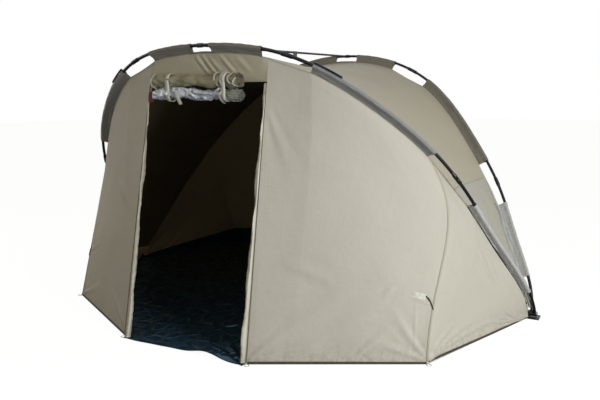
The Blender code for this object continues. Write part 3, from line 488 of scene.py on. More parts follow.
def uv_of(places):
    """A grid's UV map in metres, by the mean lengths of its rows and columns."""
    across = np.linalg.norm(np.diff(places, axis=1), axis=-1).mean(0).cumsum()
    down = np.linalg.norm(np.diff(places, axis=0), axis=-1).mean(1).cumsum()
    return np.stack(np.meshgrid(np.append(0, across), np.append(0, down)), -1)


def run_lengths(places):
    """How far along its line each place is."""
    steps = np.linalg.norm(np.diff(places, axis=0), axis=1)
    return np.concatenate(([0], steps.cumsum()))


def tube(name, places, radii, material, sides, **facts):
    """A round tube along the places, each with its own radius, closed at both ends."""
    places = np.asarray(places, float)
    count = len(places)
    radii = np.broadcast_to(np.asarray(radii, float), count)
    run = np.gradient(places, axis=0)
    run /= np.linalg.norm(run, axis=1, keepdims=True)
    first = np.cross(run[0], (0.0, 0.3, 1.0))
    if np.linalg.norm(first) < 0.1:
        first = np.cross(run[0], (1.0, 0.0, 0.0))
    frames = []
    for way in run:
        first = first - way * (first @ way)
        first /= np.linalg.norm(first)
        frames.append((first, np.cross(way, first)))
    turn = np.linspace(0, 2 * math.pi, sides, endpoint=False)
    rings = np.array([place + radius * (np.cos(turn)[:, None] * a + np.sin(turn)[:, None] * b)
                      for place, radius, (a, b) in zip(places, radii, frames)])
    uv = np.stack(np.meshgrid(turn * radii.mean(), run_lengths(places)), -1)
    mesh = grid_mesh(name, rings, uv, closed_across=True)
    bm = bmesh.new()
    bm.from_mesh(mesh)
    bm.verts.ensure_lookup_table()
    bm.faces.new([bm.verts[i] for i in range(sides)][::-1])
    bm.faces.new([bm.verts[i] for i in range((count - 1) * sides, count * sides)])
    bm.to_mesh(mesh)
    bm.free()
    mesh.set_sharp_from_angle(angle=CAP_SHARP)
    return new_object(name, mesh, material, **facts)


def band(name, middle, across, out, width, thick, material, lift=0.0, **facts):
    """A flat tape along a line: across is its width's direction, and out its upper face's."""
    middle, across, out = (np.asarray(value, float) for value in (middle, across, out))
    across = across / np.linalg.norm(across, axis=-1, keepdims=True)
    out = out / np.linalg.norm(out, axis=-1, keepdims=True)
    width = np.broadcast_to(np.asarray(width, float), len(middle))[:, None]
    rings = np.stack([middle + across * width * a + out * (lift + thick * b)
                      for a, b in TAPE_SECTION], 1)
    uv = np.stack(np.meshgrid([a for a, _ in TAPE_SECTION], run_lengths(middle)), -1)
    mesh = grid_mesh(name, rings, uv, closed_across=True)
    return new_object(name, mesh, material, **facts)


def flat_ring(name, centre, radius, wire, material, **facts):
    """A wire ring that lies level."""
    turn = np.linspace(0, 2 * math.pi, RING_SIDES, endpoint=False)
    spin = np.linspace(0, 2 * math.pi, WIRE_SIDES, endpoint=False)
    ways = -np.stack((np.cos(turn), np.sin(turn), 0 * turn), 1)
    rings = (np.asarray(centre, float) + ways[:, None] * (radius + wire * np.cos(spin)[:, None])
             + np.array((0, 0, 1)) * (wire * np.sin(spin))[:, None])
    rings = np.concatenate((rings, rings[:1]))
    uv = np.stack(np.meshgrid(spin * wire, np.linspace(0, 1, len(rings))), -1)
    mesh = grid_mesh(name, rings, uv, closed_across=True)
    bm = bmesh.new()
    bm.from_mesh(mesh)
    bmesh.ops.remove_doubles(bm, verts=bm.verts[:], dist=JOIN_WITHIN)
    bm.to_mesh(mesh)
    bm.free()
    mesh.shade_smooth()
    return new_object(name, mesh, material, **facts)


FRONT_TOP, REAR_TOP = FRONT.seam(math.pi / 2), REAR.seam(math.pi / 2)
GROUND_BACK = np.array((0, BACK_CORNER[1], HUB_HEIGHT))
ROOF_TIE = ("front_frame", "rear_frame", FRONT_TOP, REAR_TOP)
WALL_TIE = ("rear_frame", "ground", REAR_TOP, GROUND_BACK)


# Effects shared by finishes

def add(tree, kind, inputs=None, **settings):
    """Adds a node; inputs are values, or sockets to link from."""
    node = tree.nodes.new(kind)
    for key, value in settings.items():
        setattr(node, key, value)
    for key, value in (inputs or {}).items():
        if isinstance(value, bpy.types.NodeSocket):
            tree.links.new(value, node.inputs[key])
        else:
            node.inputs[key].default_value = value
    return node


def maths(tree, operation, first, second=0.0, third=0.0, clamp=False):
    """Works on up to three values; a clamped result is held between 0 and 1."""
    node = add(tree, "ShaderNodeMath", {0: first, 1: second, 2: third}, operation=operation)
    node.use_clamp = clamp
    return node.outputs[0]


def mixed(tree, share, first, second):
    """A share of the way from one colour to another."""
    return add(tree, "ShaderNodeMix", {0: share, 6: first, 7: second},
               data_type="RGBA").outputs[2]


def ramped(tree, value, low, high, to_low=0.0, to_high=1.0):
    """A soft step between two values."""
    node = add(tree, "ShaderNodeMapRange", {"Value": value, "From Min": low, "From Max": high,
               "To Min": to_low, "To Max": to_high}, interpolation_type="SMOOTHSTEP")
    return node.outputs[0]


def effect(name, inputs, outputs):
    """Starts a shared effect: its group, its inputs' sockets and its output node."""
    tree = bpy.data.node_groups.new(name, "ShaderNodeTree")
    kinds = {"c": "NodeSocketColor", "f": "NodeSocketFloat"}
    for title, kind, value in inputs:
        socket = tree.interface.new_socket(name=title, in_out="INPUT", socket_type=kinds[kind])
        socket.default_value = (*value, 1) if kind == "c" else value
    for title, kind in outputs:
        tree.interface.new_socket(name=title, in_out="OUTPUT", socket_type=kinds[kind])
    entry, leave = tree.nodes.new("NodeGroupInput"), tree.nodes.new("NodeGroupOutput")
    return tree, entry.outputs, leave


def give(tree, leave, **results):
    """Links an effect's results to its outputs."""
    for title, socket in results.items():
        tree.links.new(socket, leave.inputs[title.replace("_", " ")])


def cloth_coordinates(tree, scale_x, scale_y):
    """Cloth coordinates from the UV map in metres, each multiplied by a scale."""
    uv = add(tree, "ShaderNodeTexCoord").outputs["UV"]
    parts = add(tree, "ShaderNodeSeparateXYZ", {0: uv}).outputs
    return maths(tree, "MULTIPLY", parts[0], scale_x), maths(tree, "MULTIPLY", parts[1], scale_y)


def joined(tree, x, y):
    return add(tree, "ShaderNodeCombineXYZ", {0: x, 1: y}).outputs[0]


SLUBS_ACROSS, SLUBS_ALONG, WANDER_SHIFT = 260.0, 7.0, 0.03
BLOTCH_PACE, SOIL_FALL, TAPE_RIBS = 38.0, 1.6, 2200.0
RUBBED_ALONG = (60, 60, 14)


def make_weave():
    """Warp and weft in the cloth's own metres, with some thicker yarns."""
    tree, given, leave = effect("Plain weave", [
        ("Cloth Colour", "c", (0.4, 0.36, 0.28)), ("Yarn Colour", "c", (0.3, 0.27, 0.2)),
        ("Yarns per Metre", "f", 900.0), ("Slub", "f", 0.3)],
        [("Colour", "c"), ("Height", "f")])
    pace = given["Yarns per Metre"]
    x, y = cloth_coordinates(tree, pace, pace)
    warp = maths(tree, "SINE", maths(tree, "MULTIPLY", x, math.pi))
    weft = maths(tree, "SINE", maths(tree, "MULTIPLY", y, math.pi))
    cross = maths(tree, "MULTIPLY_ADD", maths(tree, "MULTIPLY", warp, weft), 0.5, 0.5)
    slubs = []
    for scales in ((SLUBS_ACROSS, SLUBS_ALONG), (SLUBS_ALONG, SLUBS_ACROSS)):
        place = joined(tree, *cloth_coordinates(tree, *scales))
        noise = add(tree, "ShaderNodeTexNoise", {"Vector": place, "Scale": 1.0, "Detail": 2.0})
        slubs.append(ramped(tree, noise.outputs[0], 0.45, 0.8))
    slub = maths(tree, "MULTIPLY", maths(tree, "MAXIMUM", *slubs), given["Slub"])
    share = maths(tree, "MULTIPLY_ADD", cross, 0.25, slub, clamp=True)
    give(tree, leave, Colour=mixed(tree, share, given["Cloth Colour"], given["Yarn Colour"]),
         Height=maths(tree, "ADD", cross, slub))
    return tree


def make_crinkle():
    """Soft dents with sharper ridges between them."""
    tree, given, leave = effect("Crinkle", [("Size", "f", 0.05), ("Wander", "f", 0.4),
                                            ("Sharpness", "f", 0.5)],
                                [("Height", "f"), ("Ridge", "f")])
    place = add(tree, "ShaderNodeTexCoord").outputs["Object"]
    pace = maths(tree, "DIVIDE", 1.0, given["Size"])
    soft = add(tree, "ShaderNodeTexNoise", {"Vector": place, "Scale": pace, "Detail": 3.0,
               "Roughness": 0.55, "Distortion": given["Wander"]})
    shift = add(tree, "ShaderNodeVectorMath", {0: soft.outputs["Color"], 3: WANDER_SHIFT},
                operation="SCALE").outputs[0]
    moved = add(tree, "ShaderNodeVectorMath", {0: place, 1: shift}).outputs[0]
    cell = add(tree, "ShaderNodeTexVoronoi", {"Vector": moved, "Scale": pace},
               feature="DISTANCE_TO_EDGE")
    ridge = ramped(tree, cell.outputs["Distance"], 0.0, 0.22, 1.0, 0.0)
    sharp = maths(tree, "MULTIPLY", ridge, given["Sharpness"])
    give(tree, leave, Height=maths(tree, "ADD", soft.outputs[0], sharp), Ridge=ridge)
    return tree


def make_weathering():
    """Soil that thins out above the ground, and a broad change of tone."""
    tree, given, leave = effect("Weathering", [
        ("Colour", "c", (0.4, 0.36, 0.28)), ("Soil Colour", "c", (0.2, 0.16, 0.1)),
        ("Soil Height", "f", 0.12), ("Soil", "f", 0.35), ("Fade", "f", 0.08),
        ("Patch Size", "f", 0.4)],
        [("Colour", "c"), ("Soiled", "f")])
    place = add(tree, "ShaderNodeTexCoord").outputs["Object"]
    height = add(tree, "ShaderNodeSeparateXYZ", {0: place}).outputs[2]
    low = maths(tree, "SUBTRACT", 1.0, maths(tree, "DIVIDE", height, given["Soil Height"]),
                clamp=True)
    pace = maths(tree, "DIVIDE", 1.0, given["Patch Size"])
    broad = add(tree, "ShaderNodeTexNoise", {"Vector": place, "Scale": pace, "Detail": 4.0})
    fine = add(tree, "ShaderNodeTexNoise", {"Vector": place, "Scale": BLOTCH_PACE,
               "Detail": 5.0, "Roughness": 0.65})
    blotch = ramped(tree, fine.outputs[0], 0.35, 0.7)
    soil = maths(tree, "MULTIPLY", maths(tree, "MULTIPLY", maths(tree, "POWER", low, SOIL_FALL),
                 blotch), given["Soil"])
    swing = maths(tree, "MULTIPLY_ADD", broad.outputs[0], 2.0, -1.0)
    tone = maths(tree, "MULTIPLY_ADD", swing, given["Fade"], 1.0)
    toned = add(tree, "ShaderNodeHueSaturation", {"Value": tone, "Color": given["Colour"]})
    give(tree, leave, Colour=mixed(tree, soil, toned.outputs[0], given["Soil Colour"]),
         Soiled=soil)
    return tree


def make_stitching():
    """A row of stitches along each side of a tape, over its fine ribs."""
    tree, given, leave = effect("Stitch rows", [
        ("Colour", "c", (0.3, 0.27, 0.2)), ("Thread Colour", "c", (0.5, 0.46, 0.36)),
        ("Row Place", "f", 0.32), ("Stitch Length", "f", 0.004)],
        [("Colour", "c"), ("Height", "f")])
    uv = add(tree, "ShaderNodeTexCoord").outputs["UV"]
    parts = add(tree, "ShaderNodeSeparateXYZ", {0: uv}).outputs
    off = maths(tree, "ABSOLUTE", maths(tree, "SUBTRACT", maths(tree, "ABSOLUTE", parts[0]),
                                        given["Row Place"]))
    row = ramped(tree, off, 0.025, 0.05, 1.0, 0.0)
    step = maths(tree, "FRACT", maths(tree, "DIVIDE", parts[1], given["Stitch Length"]))
    dash = ramped(tree, maths(tree, "ABSOLUTE", maths(tree, "SUBTRACT", step, 0.5)), 0.3, 0.42,
                  1.0, 0.0)
    stitch = maths(tree, "MULTIPLY", row, dash)
    ribs = maths(tree, "SINE", maths(tree, "MULTIPLY", parts[1], TAPE_RIBS))
    sunk = maths(tree, "MULTIPLY_ADD", row, -0.8, maths(tree, "MULTIPLY", ribs, 0.12))
    give(tree, leave, Colour=mixed(tree, stitch, given["Colour"], given["Thread Colour"]),
         Height=maths(tree, "MULTIPLY_ADD", stitch, 0.9, sunk))
    return tree


def make_net():
    """Round holes in rows, each row half a hole aside from the one before."""
    tree, given, leave = effect("Net holes", [
        ("Thread Colour", "c", (0.2, 0.19, 0.18)), ("Hole Colour", "c", (0.04, 0.04, 0.04)),
        ("Holes per Metre", "f", 420.0), ("Openness", "f", 0.5)],
        [("Colour", "c"), ("Height", "f"), ("Hole", "f")])
    pace = given["Holes per Metre"]
    x, y = cloth_coordinates(tree, pace, pace)
    shifted = maths(tree, "MULTIPLY_ADD", maths(tree, "FLOOR", y), 0.5, x)
    dx = maths(tree, "SUBTRACT", maths(tree, "FRACT", shifted), 0.5)
    dy = maths(tree, "SUBTRACT", maths(tree, "FRACT", y), 0.5)
    reach = maths(tree, "SQRT", maths(tree, "ADD", maths(tree, "MULTIPLY", dx, dx),
                                      maths(tree, "MULTIPLY", dy, dy)))
    hole = ramped(tree, reach, 0.2, 0.36, 1.0, 0.0)
    share = maths(tree, "MULTIPLY", hole, given["Openness"])
    give(tree, leave, Colour=mixed(tree, share, given["Thread Colour"], given["Hole Colour"]),
         Height=maths(tree, "SUBTRACT", 1.0, hole), Hole=hole)
    return tree


def make_scuffs():
    """Long rubbed marks and a fine grain."""
    tree, given, leave = effect("Scuffs and grain", [
        ("Colour", "c", (0.02, 0.02, 0.02)), ("Scuff Colour", "c", (0.1, 0.1, 0.1)),
        ("Amount", "f", 0.4), ("Grain Size", "f", 0.002), ("Roughness", "f", 0.4)],
        [("Colour", "c"), ("Rubbed Roughness", "f"), ("Height", "f")])
    place = add(tree, "ShaderNodeTexCoord").outputs["Object"]
    stretched = add(tree, "ShaderNodeMapping", {"Vector": place, "Scale": RUBBED_ALONG})
    long_marks = add(tree, "ShaderNodeTexNoise", {"Vector": stretched.outputs[0], "Scale": 1.6,
                     "Detail": 6.0, "Roughness": 0.7})
    marks = maths(tree, "MULTIPLY", ramped(tree, long_marks.outputs[0], 0.55, 0.75),
                  given["Amount"])
    grain = add(tree, "ShaderNodeTexNoise", {"Vector": place, "Detail": 2.0,
                "Scale": maths(tree, "DIVIDE", 1.0, given["Grain Size"])})
    rough = maths(tree, "MULTIPLY_ADD", marks, 0.25, given["Roughness"])
    give(tree, leave, Colour=mixed(tree, marks, given["Colour"], given["Scuff Colour"]),
         Rubbed_Roughness=maths(tree, "MULTIPLY_ADD", grain.outputs[0], 0.06, rough),
         Height=grain.outputs[0])
    return tree


WEAVE, CRINKLE, WEATHERING = make_weave(), make_crinkle(), make_weathering()
STITCHING, NET, SCUFFS = make_stitching(), make_net(), make_scuffs()


# Finishes

def finish_of(name, roughness, metallic=0.0, **sockets):
    """Starts a finish and returns its material, its tree and its shader."""
    material = bpy.data.materials.new(name)
    material.use_nodes = True
    tree = material.node_tree
    shader = tree.nodes["Principled BSDF"]
    shader.inputs["Roughness"].default_value = roughness
    shader.inputs["Metallic"].default_value = metallic
    for key, value in sockets.items():
        shader.inputs[key.replace("_", " ")].default_value = value
    return material, tree, shader


def uses(tree, group, **values):
    """Places a shared effect in a material, with the material's own values."""
    inputs = {key.replace("_", " "): value for key, value in values.items()}
    return add(tree, "ShaderNodeGroup", inputs, node_tree=group).outputs


def bumped(tree, shader, *layers):
    """Chains bumps, each a height socket, a strength and a depth in metres."""
    normal = None
    for height, strength, depth in layers:
        node = add(tree, "ShaderNodeBump", {"Height": height, "Strength": strength,
                   "Distance": depth})
        if normal:
            tree.links.new(normal, node.inputs["Normal"])
        normal = node.outputs[0]
    tree.links.new(normal, shader.inputs["Normal"])


def plain(srgb):
    """Turns a colour as it is seen, of 0 to 255, into the linear one that shaders take."""
    shares = [value / 255 for value in srgb]
    linear = [s / 12.92 if s <= 0.04045 else ((s + 0.055) / 1.055) ** 2.4 for s in shares]
    return (*linear, 1.0)


def coated_cloth(name, cloth_colour, yarn_colour, inner_colour=None, sheen=0.12,
                 crinkle=0.05):
    """A coated cloth; an inner colour goes on its back, which faces into the shelter."""
    material, tree, shader = finish_of(name, 0.62, Sheen_Weight=sheen, Sheen_Roughness=0.45,
                                       Specular_IOR_Level=0.35)
    yarn = plain(yarn_colour)
    woven = uses(tree, WEAVE, Cloth_Colour=plain(cloth_colour), Yarn_Colour=yarn,
                 Yarns_per_Metre=900.0, Slub=0.22)
    worn = uses(tree, WEATHERING, Colour=woven["Colour"], Soil_Colour=plain((96, 80, 58)),
                Soil_Height=0.16, Soil=0.35, Fade=0.05, Patch_Size=0.45)
    creased = uses(tree, CRINKLE, Size=crinkle, Wander=0.6, Sharpness=0.25)
    colour = worn["Colour"]
    if inner_colour:
        back = add(tree, "ShaderNodeNewGeometry").outputs["Backfacing"]
        inner = plain(inner_colour)
        lining = mixed(tree, 0.12, inner, mixed(tree, woven["Height"], inner, yarn))
        colour = mixed(tree, back, colour, lining)
    tree.links.new(colour, shader.inputs["Base Color"])
    rough = maths(tree, "MULTIPLY_ADD", worn["Soiled"], 0.3, 0.6)
    tree.links.new(rough, shader.inputs["Roughness"])
    bumped(tree, shader, (creased["Height"], 0.22, 0.004), (woven["Height"], 0.25, 0.0004))
    return material


def taped(name, colour, thread, row=0.32, soil=0.3):
    """A woven tape with a row of stitches along each side."""
    material, tree, shader = finish_of(name, 0.75, Sheen_Weight=0.1)
    sewn = uses(tree, STITCHING, Colour=plain(colour), Thread_Colour=plain(thread),
                Row_Place=row, Stitch_Length=0.0045)
    worn = uses(tree, WEATHERING, Colour=sewn["Colour"], Soil_Colour=plain((88, 74, 54)),
                Soil_Height=0.12, Soil=soil, Fade=0.08, Patch_Size=0.2)
    tree.links.new(worn["Colour"], shader.inputs["Base Color"])
    bumped(tree, shader, (sewn["Height"], 0.5, 0.0008))
    return material


def netted(name, thread, hole, pace=520.0, openness=0.55):
    """A knitted net whose holes are drawn, not cut."""
    material, tree, shader = finish_of(name, 0.8, Sheen_Weight=0.2)
    net = uses(tree, NET, Thread_Colour=plain(thread), Hole_Colour=plain(hole),
               Holes_per_Metre=pace, Openness=openness)
    worn = uses(tree, WEATHERING, Colour=net["Colour"], Soil_Colour=plain((90, 78, 60)),
                Soil_Height=0.2, Soil=0.25, Fade=0.1, Patch_Size=0.12)
    creased = uses(tree, CRINKLE, Size=0.03, Wander=0.8, Sharpness=0.4)
    tree.links.new(worn["Colour"], shader.inputs["Base Color"])
    bumped(tree, shader, (creased["Height"], 0.3, 0.003), (net["Height"], 0.35, 0.0006))
    return material


def moulded(name, colour, scuffed, roughness, metallic=0.0, grain=0.0012, amount=0.4,
            bump=0.15):
    """A hard finish, of plastic or metal, with faint scuffs and grain."""
    material, tree, shader = finish_of(name, roughness, metallic)
    rubbed = uses(tree, SCUFFS, Colour=plain(colour), Scuff_Colour=plain(scuffed),
                  Amount=amount, Grain_Size=grain, Roughness=roughness)
    tree.links.new(rubbed["Colour"], shader.inputs["Base Color"])
    tree.links.new(rubbed["Rubbed Roughness"], shader.inputs["Roughness"])
    bumped(tree, shader, (rubbed["Height"], bump, 0.0003))
    return material


def coated_film(name, colour, ridge_highlight, *, size, depth, roughness, soil, **sockets):
    """A supple plastic film: its crease ridges carry a painted highlight, and its bumps catch the
    light.
    """
    material, tree, shader = finish_of(name, roughness, **sockets)
    creased = uses(tree, CRINKLE, Size=size, Wander=1.2, Sharpness=0.8)
    # Painted highlight: the crease ridges are tinted towards the ridge highlight colour.
    tinted = mixed(tree, maths(tree, "MULTIPLY", creased["Ridge"], 0.35), plain(colour),
                   plain(ridge_highlight))
    worn = uses(tree, WEATHERING, Colour=tinted, Soil_Colour=plain((70, 62, 50)),
                Soil_Height=0.3, Soil=soil, Fade=0.06, Patch_Size=0.3)
    tree.links.new(worn["Colour"], shader.inputs["Base Color"])
    rough = maths(tree, "MULTIPLY_ADD", worn["Soiled"], 0.4, roughness)
    tree.links.new(rough, shader.inputs["Roughness"])
    bumped(tree, shader, (creased["Height"], 0.8, depth))
    return material


# Painted shade: the dark lining under the roof and the wings stands in for the shade inside the
# cabin.
ROOF_LINING_SHADE = (112, 98, 70)
# The wall lining is partly the coating's own colour and partly painted light, lifted to brighten
# the inside walls.
shell = coated_cloth("tan_shell_cloth", (192, 186, 171), (164, 156, 138), (206, 184, 146))
# Painted shade: the roof, the door header and the roof wings take darker copies of the wall cloth,
# for the shade on their upward faces.
shaded_top_cloth = coated_cloth("olive_shell_cloth_painted_shade", (182, 174, 152), (154, 145, 122), ROOF_LINING_SHADE)
shaded_wing_cloth = coated_cloth("wing_cloth_painted_shade", (182, 177, 163), (154, 149, 134), ROOF_LINING_SHADE)
rolled_cloth = coated_cloth("rolled_door_cloth", (150, 142, 114), (124, 116, 90))
# Partly painted light: the storm flaps are pale strips of their own, and their colour is lifted
# further to brighten flaps that sit in shade.
flap_cloth_painted_light = coated_cloth("pale_flap_cloth", (208, 203, 186), (182, 176, 158), sheen=0.2,
                          crinkle=0.02)
sleeve_net = netted("grey_sleeve_net", (150, 148, 144), (66, 65, 62))
# Painted shade and light on the sleeves: the crown and rear shoulder sleeves take a darker, browner
# copy of the grey net, and the legs a paler one.
crown_net_painted_shade = netted("dark_crown_net", (124, 118, 106), (50, 47, 40))
leg_net_painted_light = netted("pale_leg_net", (184, 183, 180), (96, 95, 92))
dotted_net = netted("dotted_door_net", (150, 150, 136), (22, 22, 18), pace=110.0,
                    openness=0.95)
seam_tape = taped("tan_seam_tape", (168, 161, 140), (198, 192, 172))
hem_and_shadow_tape = taped("dark_hem_tape", (46, 40, 34), (96, 88, 74), soil=0.5)
sleeve_hem = taped("grey_sleeve_binding", (92, 88, 84), (150, 146, 140))
pale_hem_and_highlight = taped("pale_binding_and_highlight", (176, 174, 168), (206, 204, 198))
webbing = taped("pale_webbing", (206, 204, 190), (160, 158, 146), row=0.36)
zip_chain = taped("tan_zip_chain", (122, 114, 98), (150, 142, 124))
red_tab = taped("red_tab", (98, 14, 34), (128, 44, 50))
# Painted highlight: the floor film's crease ridges are tinted a lighter blue.
floor_film = coated_film("navy_floor_film", (34, 57, 74), (60, 90, 110), size=0.09,
                         depth=0.010, roughness=0.30, soil=0.12, Specular_IOR_Level=0.6,
                         Specular_Tint=(0.55, 0.72, 1.0, 1))
# Painted reflection: the clear film's pale blue-white colour and its whiter ridges stand in for its
# reflections.
clear_film = coated_film("clear_window_film", (196, 204, 214), (236, 240, 246), size=0.03,
                         depth=0.010, roughness=0.10, soil=0.0, Transmission_Weight=0.35,
                         IOR=1.45, Specular_IOR_Level=0.7)
black_plastic = moulded("black_moulded_plastic", (26, 26, 28), (84, 84, 86), 0.42)
pole_finish = moulded("black_anodised_pole", (30, 32, 36), (92, 96, 104), 0.3, metallic=0.55,
                      amount=0.3, bump=0.05)
steel = moulded("zinc_plated_steel", (176, 178, 180), (120, 112, 100), 0.3, metallic=1.0,
                amount=0.5, bump=0.05)
cord_finish = moulded("dark_cord", (40, 36, 32), (80, 72, 60), 0.8, grain=0.0008, bump=0.5)
# Painted reflection: the rod's blue tint and its lilac scuff colour stand in for the sky's
# reflection on its top.
rod_finish_painted_reflection = moulded("blue_black_rod_painted_reflection", (34, 36, 52), (120, 124, 168), 0.22, metallic=0.7,
                     amount=0.35, bump=0.04)


# Folds and tapes on the panels

cuts, trims = {}, {}
EDGE_FADE, CLEAR_OF_FLOOR = 0.04, 0.0004


def creases(rows, lumps, hem=0.03):
    """Folds for a panel: rows of start, end, width, height and whether pinned, whose ends are
    shares of the panel, and lumps of scale, height and seed."""

    def read(x, y, u, w, width, length):
        size, total = np.array((width, length)), 0
        for start, end, spread, height, pinned in rows:
            total = total + fold(x, y, start * size, end * size, spread, height, pinned)
        for scale, height, seed in lumps:
            total = total + height * drift(x, y, scale, seed)
        sides = smooth(u, 0, EDGE_FADE) * smooth(1 - u, 0, EDGE_FADE)
        return total * sides * smooth(1 - w, 0, EDGE_FADE) * smooth(w, 0, hem)

    return read


def panel(node, surface, cols, rows, material, folds=None, **facts):
    """The cloth that stands for one node of the part."""
    return cloth(f"{node}_cloth", surface, cols, rows, material, folds, replaces=[node], **facts)


def tape_on(name, surface, start, end, width, material, on, thick=0.0012, count=90,
            lift=0.0006, blend=None, **facts):
    """A tape sewn on a panel along a line between two of its shares."""
    share, step = np.linspace(0, 1, count), 1e-3
    u, w = (a + (b - a) * share for a, b in zip(start, end))
    clip = lambda value: np.clip(value, 0, 1)
    middle = surface(u, w)
    across_u = surface(clip(u + step), w) - surface(clip(u - step), w)
    across_w = surface(u, clip(w + step)) - surface(u, clip(w - step))
    normal = np.cross(across_u, across_w)
    normal = outward(middle, normal / np.linalg.norm(normal, axis=1, keepdims=True))
    item = band(name, middle, np.cross(np.gradient(middle, axis=0), normal), normal, width,
                thick, material, lift, **facts)
    for corner in item.data.vertices:
        corner.co.z = max(corner.co.z, CLEAR_OF_FLOOR)
    if blend:
        tie(item, *blend)
    trims.setdefault(f"{on}_cloth", []).append(item)
    return item


def united(items):
    """Joins pieces into the first one, each part keeping its finish."""
    first, finishes, bm = items[0], [], bmesh.new()
    for item in items:
        before = len(bm.faces)
        bm.from_mesh(item.data)
        bm.faces.ensure_lookup_table()
        for face in bm.faces[before:]:
            finish = item.data.materials[face.material_index]
            if finish not in finishes:
                finishes.append(finish)
            face.material_index = finishes.index(finish)
    bm.to_mesh(first.data)
    bm.free()
    first.data.materials.clear()
    for finish in finishes:
        first.data.materials.append(finish)
    for item in items[1:]:
        bpy.data.objects.remove(item)
    return first


# Walls and roof

FRONT_FOLDS = {
    RIGHT: [((0.135, 0.35), (0.45, 0.30), 0.030, 0.0030, False),
            ((0.20, 0.12), (0.62, 0.30), 0.045, 0.0040, False),
            ((0.28, 0.06), (0.70, 0.20), 0.035, 0.0035, False),
            ((0.60, 0.03), (0.82, 0.17), 0.028, 0.0040, True),
            ((0.71, 0.27), (0.77, 0.32), 0.018, 0.0040, False),
            ((0.99, 0.02), (0.66, 0.10), 0.030, 0.0050, True),
            ((0.99, 0.03), (0.76, 0.24), 0.030, 0.0045, True),
            ((0.99, 0.28), (0.86, 0.30), 0.020, 0.0050, True),
            ((0.90, 0.29), (0.935, 0.03), 0.007, 0.0022, False),
            ((0.01, 0.84), (0.20, 0.60), 0.040, 0.0030, True),
            ((0.01, 0.015), (0.30, 0.16), 0.030, 0.0045, True)],
    LEFT: [((0.01, 0.02), (0.38, 0.14), 0.030, 0.0050, True),
           ((0.99, 0.29), (0.70, 0.33), 0.022, 0.0050, True),
           ((0.10, 0.46), (0.42, 0.62), 0.030, 0.0040, False),
           ((0.99, 0.02), (0.60, 0.12), 0.030, 0.0050, True)],
}
GORE_FOLDS = [((0.005, 0.012), (0.20, 0.19), 0.026, 0.0060, True),
              ((0.005, 0.012), (0.42, 0.20), 0.030, 0.0060, True),
              ((0.005, 0.012), (0.76, 0.20), 0.030, 0.0050, True),
              ((0.28, 0.73), (0.57, 0.56), 0.026, 0.0060, False),
              ((0.47, 0.75), (0.58, 0.65), 0.020, 0.0060, False),
              ((0.98, 0.03), (0.80, 0.60), 0.024, 0.0080, True),
              ((0.98, 0.03), (0.70, 0.36), 0.026, 0.0100, True),
              ((0.98, 0.03), (0.58, 0.16), 0.022, 0.0090, True)]
REAR_FOLDS = [((0.005, 0.012), (0.5, 0.3), 0.04, 0.006, True),
              ((0.98, 0.03), (0.5, 0.5), 0.035, 0.006, True)]
BACK_FOLDS = [((0.33, 0.01), (0.2, 0.4), 0.05, 0.005, True),
              ((0.66, 0.01), (0.8, 0.4), 0.05, 0.005, True)]
HEADER_FOLDS = [((0.580, 1), (0.460, 0.25), 0.009, 0.0062, False),
                ((0.525, 1), (0.395, 0.20), 0.008, 0.0066, False),
                ((0.470, 0.9), (0.350, 0.3), 0.010, 0.0040, False),
                ((0.375, 0.95), (0.235, 0.2), 0.009, 0.0062, False),
                ((0.250, 0.9), (0.120, 0.3), 0.014, 0.0035, False)]
SEAM_WIDTH, HEM_WIDTH, HEADER_TAPE_WIDTH, HEM_UP = 0.011, 0.013, 0.012, 0.0075
BACK_HEM_SHARE, HEADER_TAPE_SHARE = 0.005, 0.03
BACK_SEAMS = ((0.357, "right"), (0.643, "left"))
PLEAT_HEIGHT, PLEAT_PACE, PLEAT_WANDER = 0.002, 26, 2.5


def wing_pleats(x, y, u, w, *_):
    """Faint pleats across a roof wing, which fade out towards its edges."""
    ends = smooth(u, 0, 0.1) * smooth(1 - u, 0, 0.08) * smooth(w, 0, 0.1) * smooth(1 - w, 0, 0.1)
    return PLEAT_HEIGHT * np.sin(w * PLEAT_PACE + PLEAT_WANDER * drift(x, y, 0.2, 41)) * ends


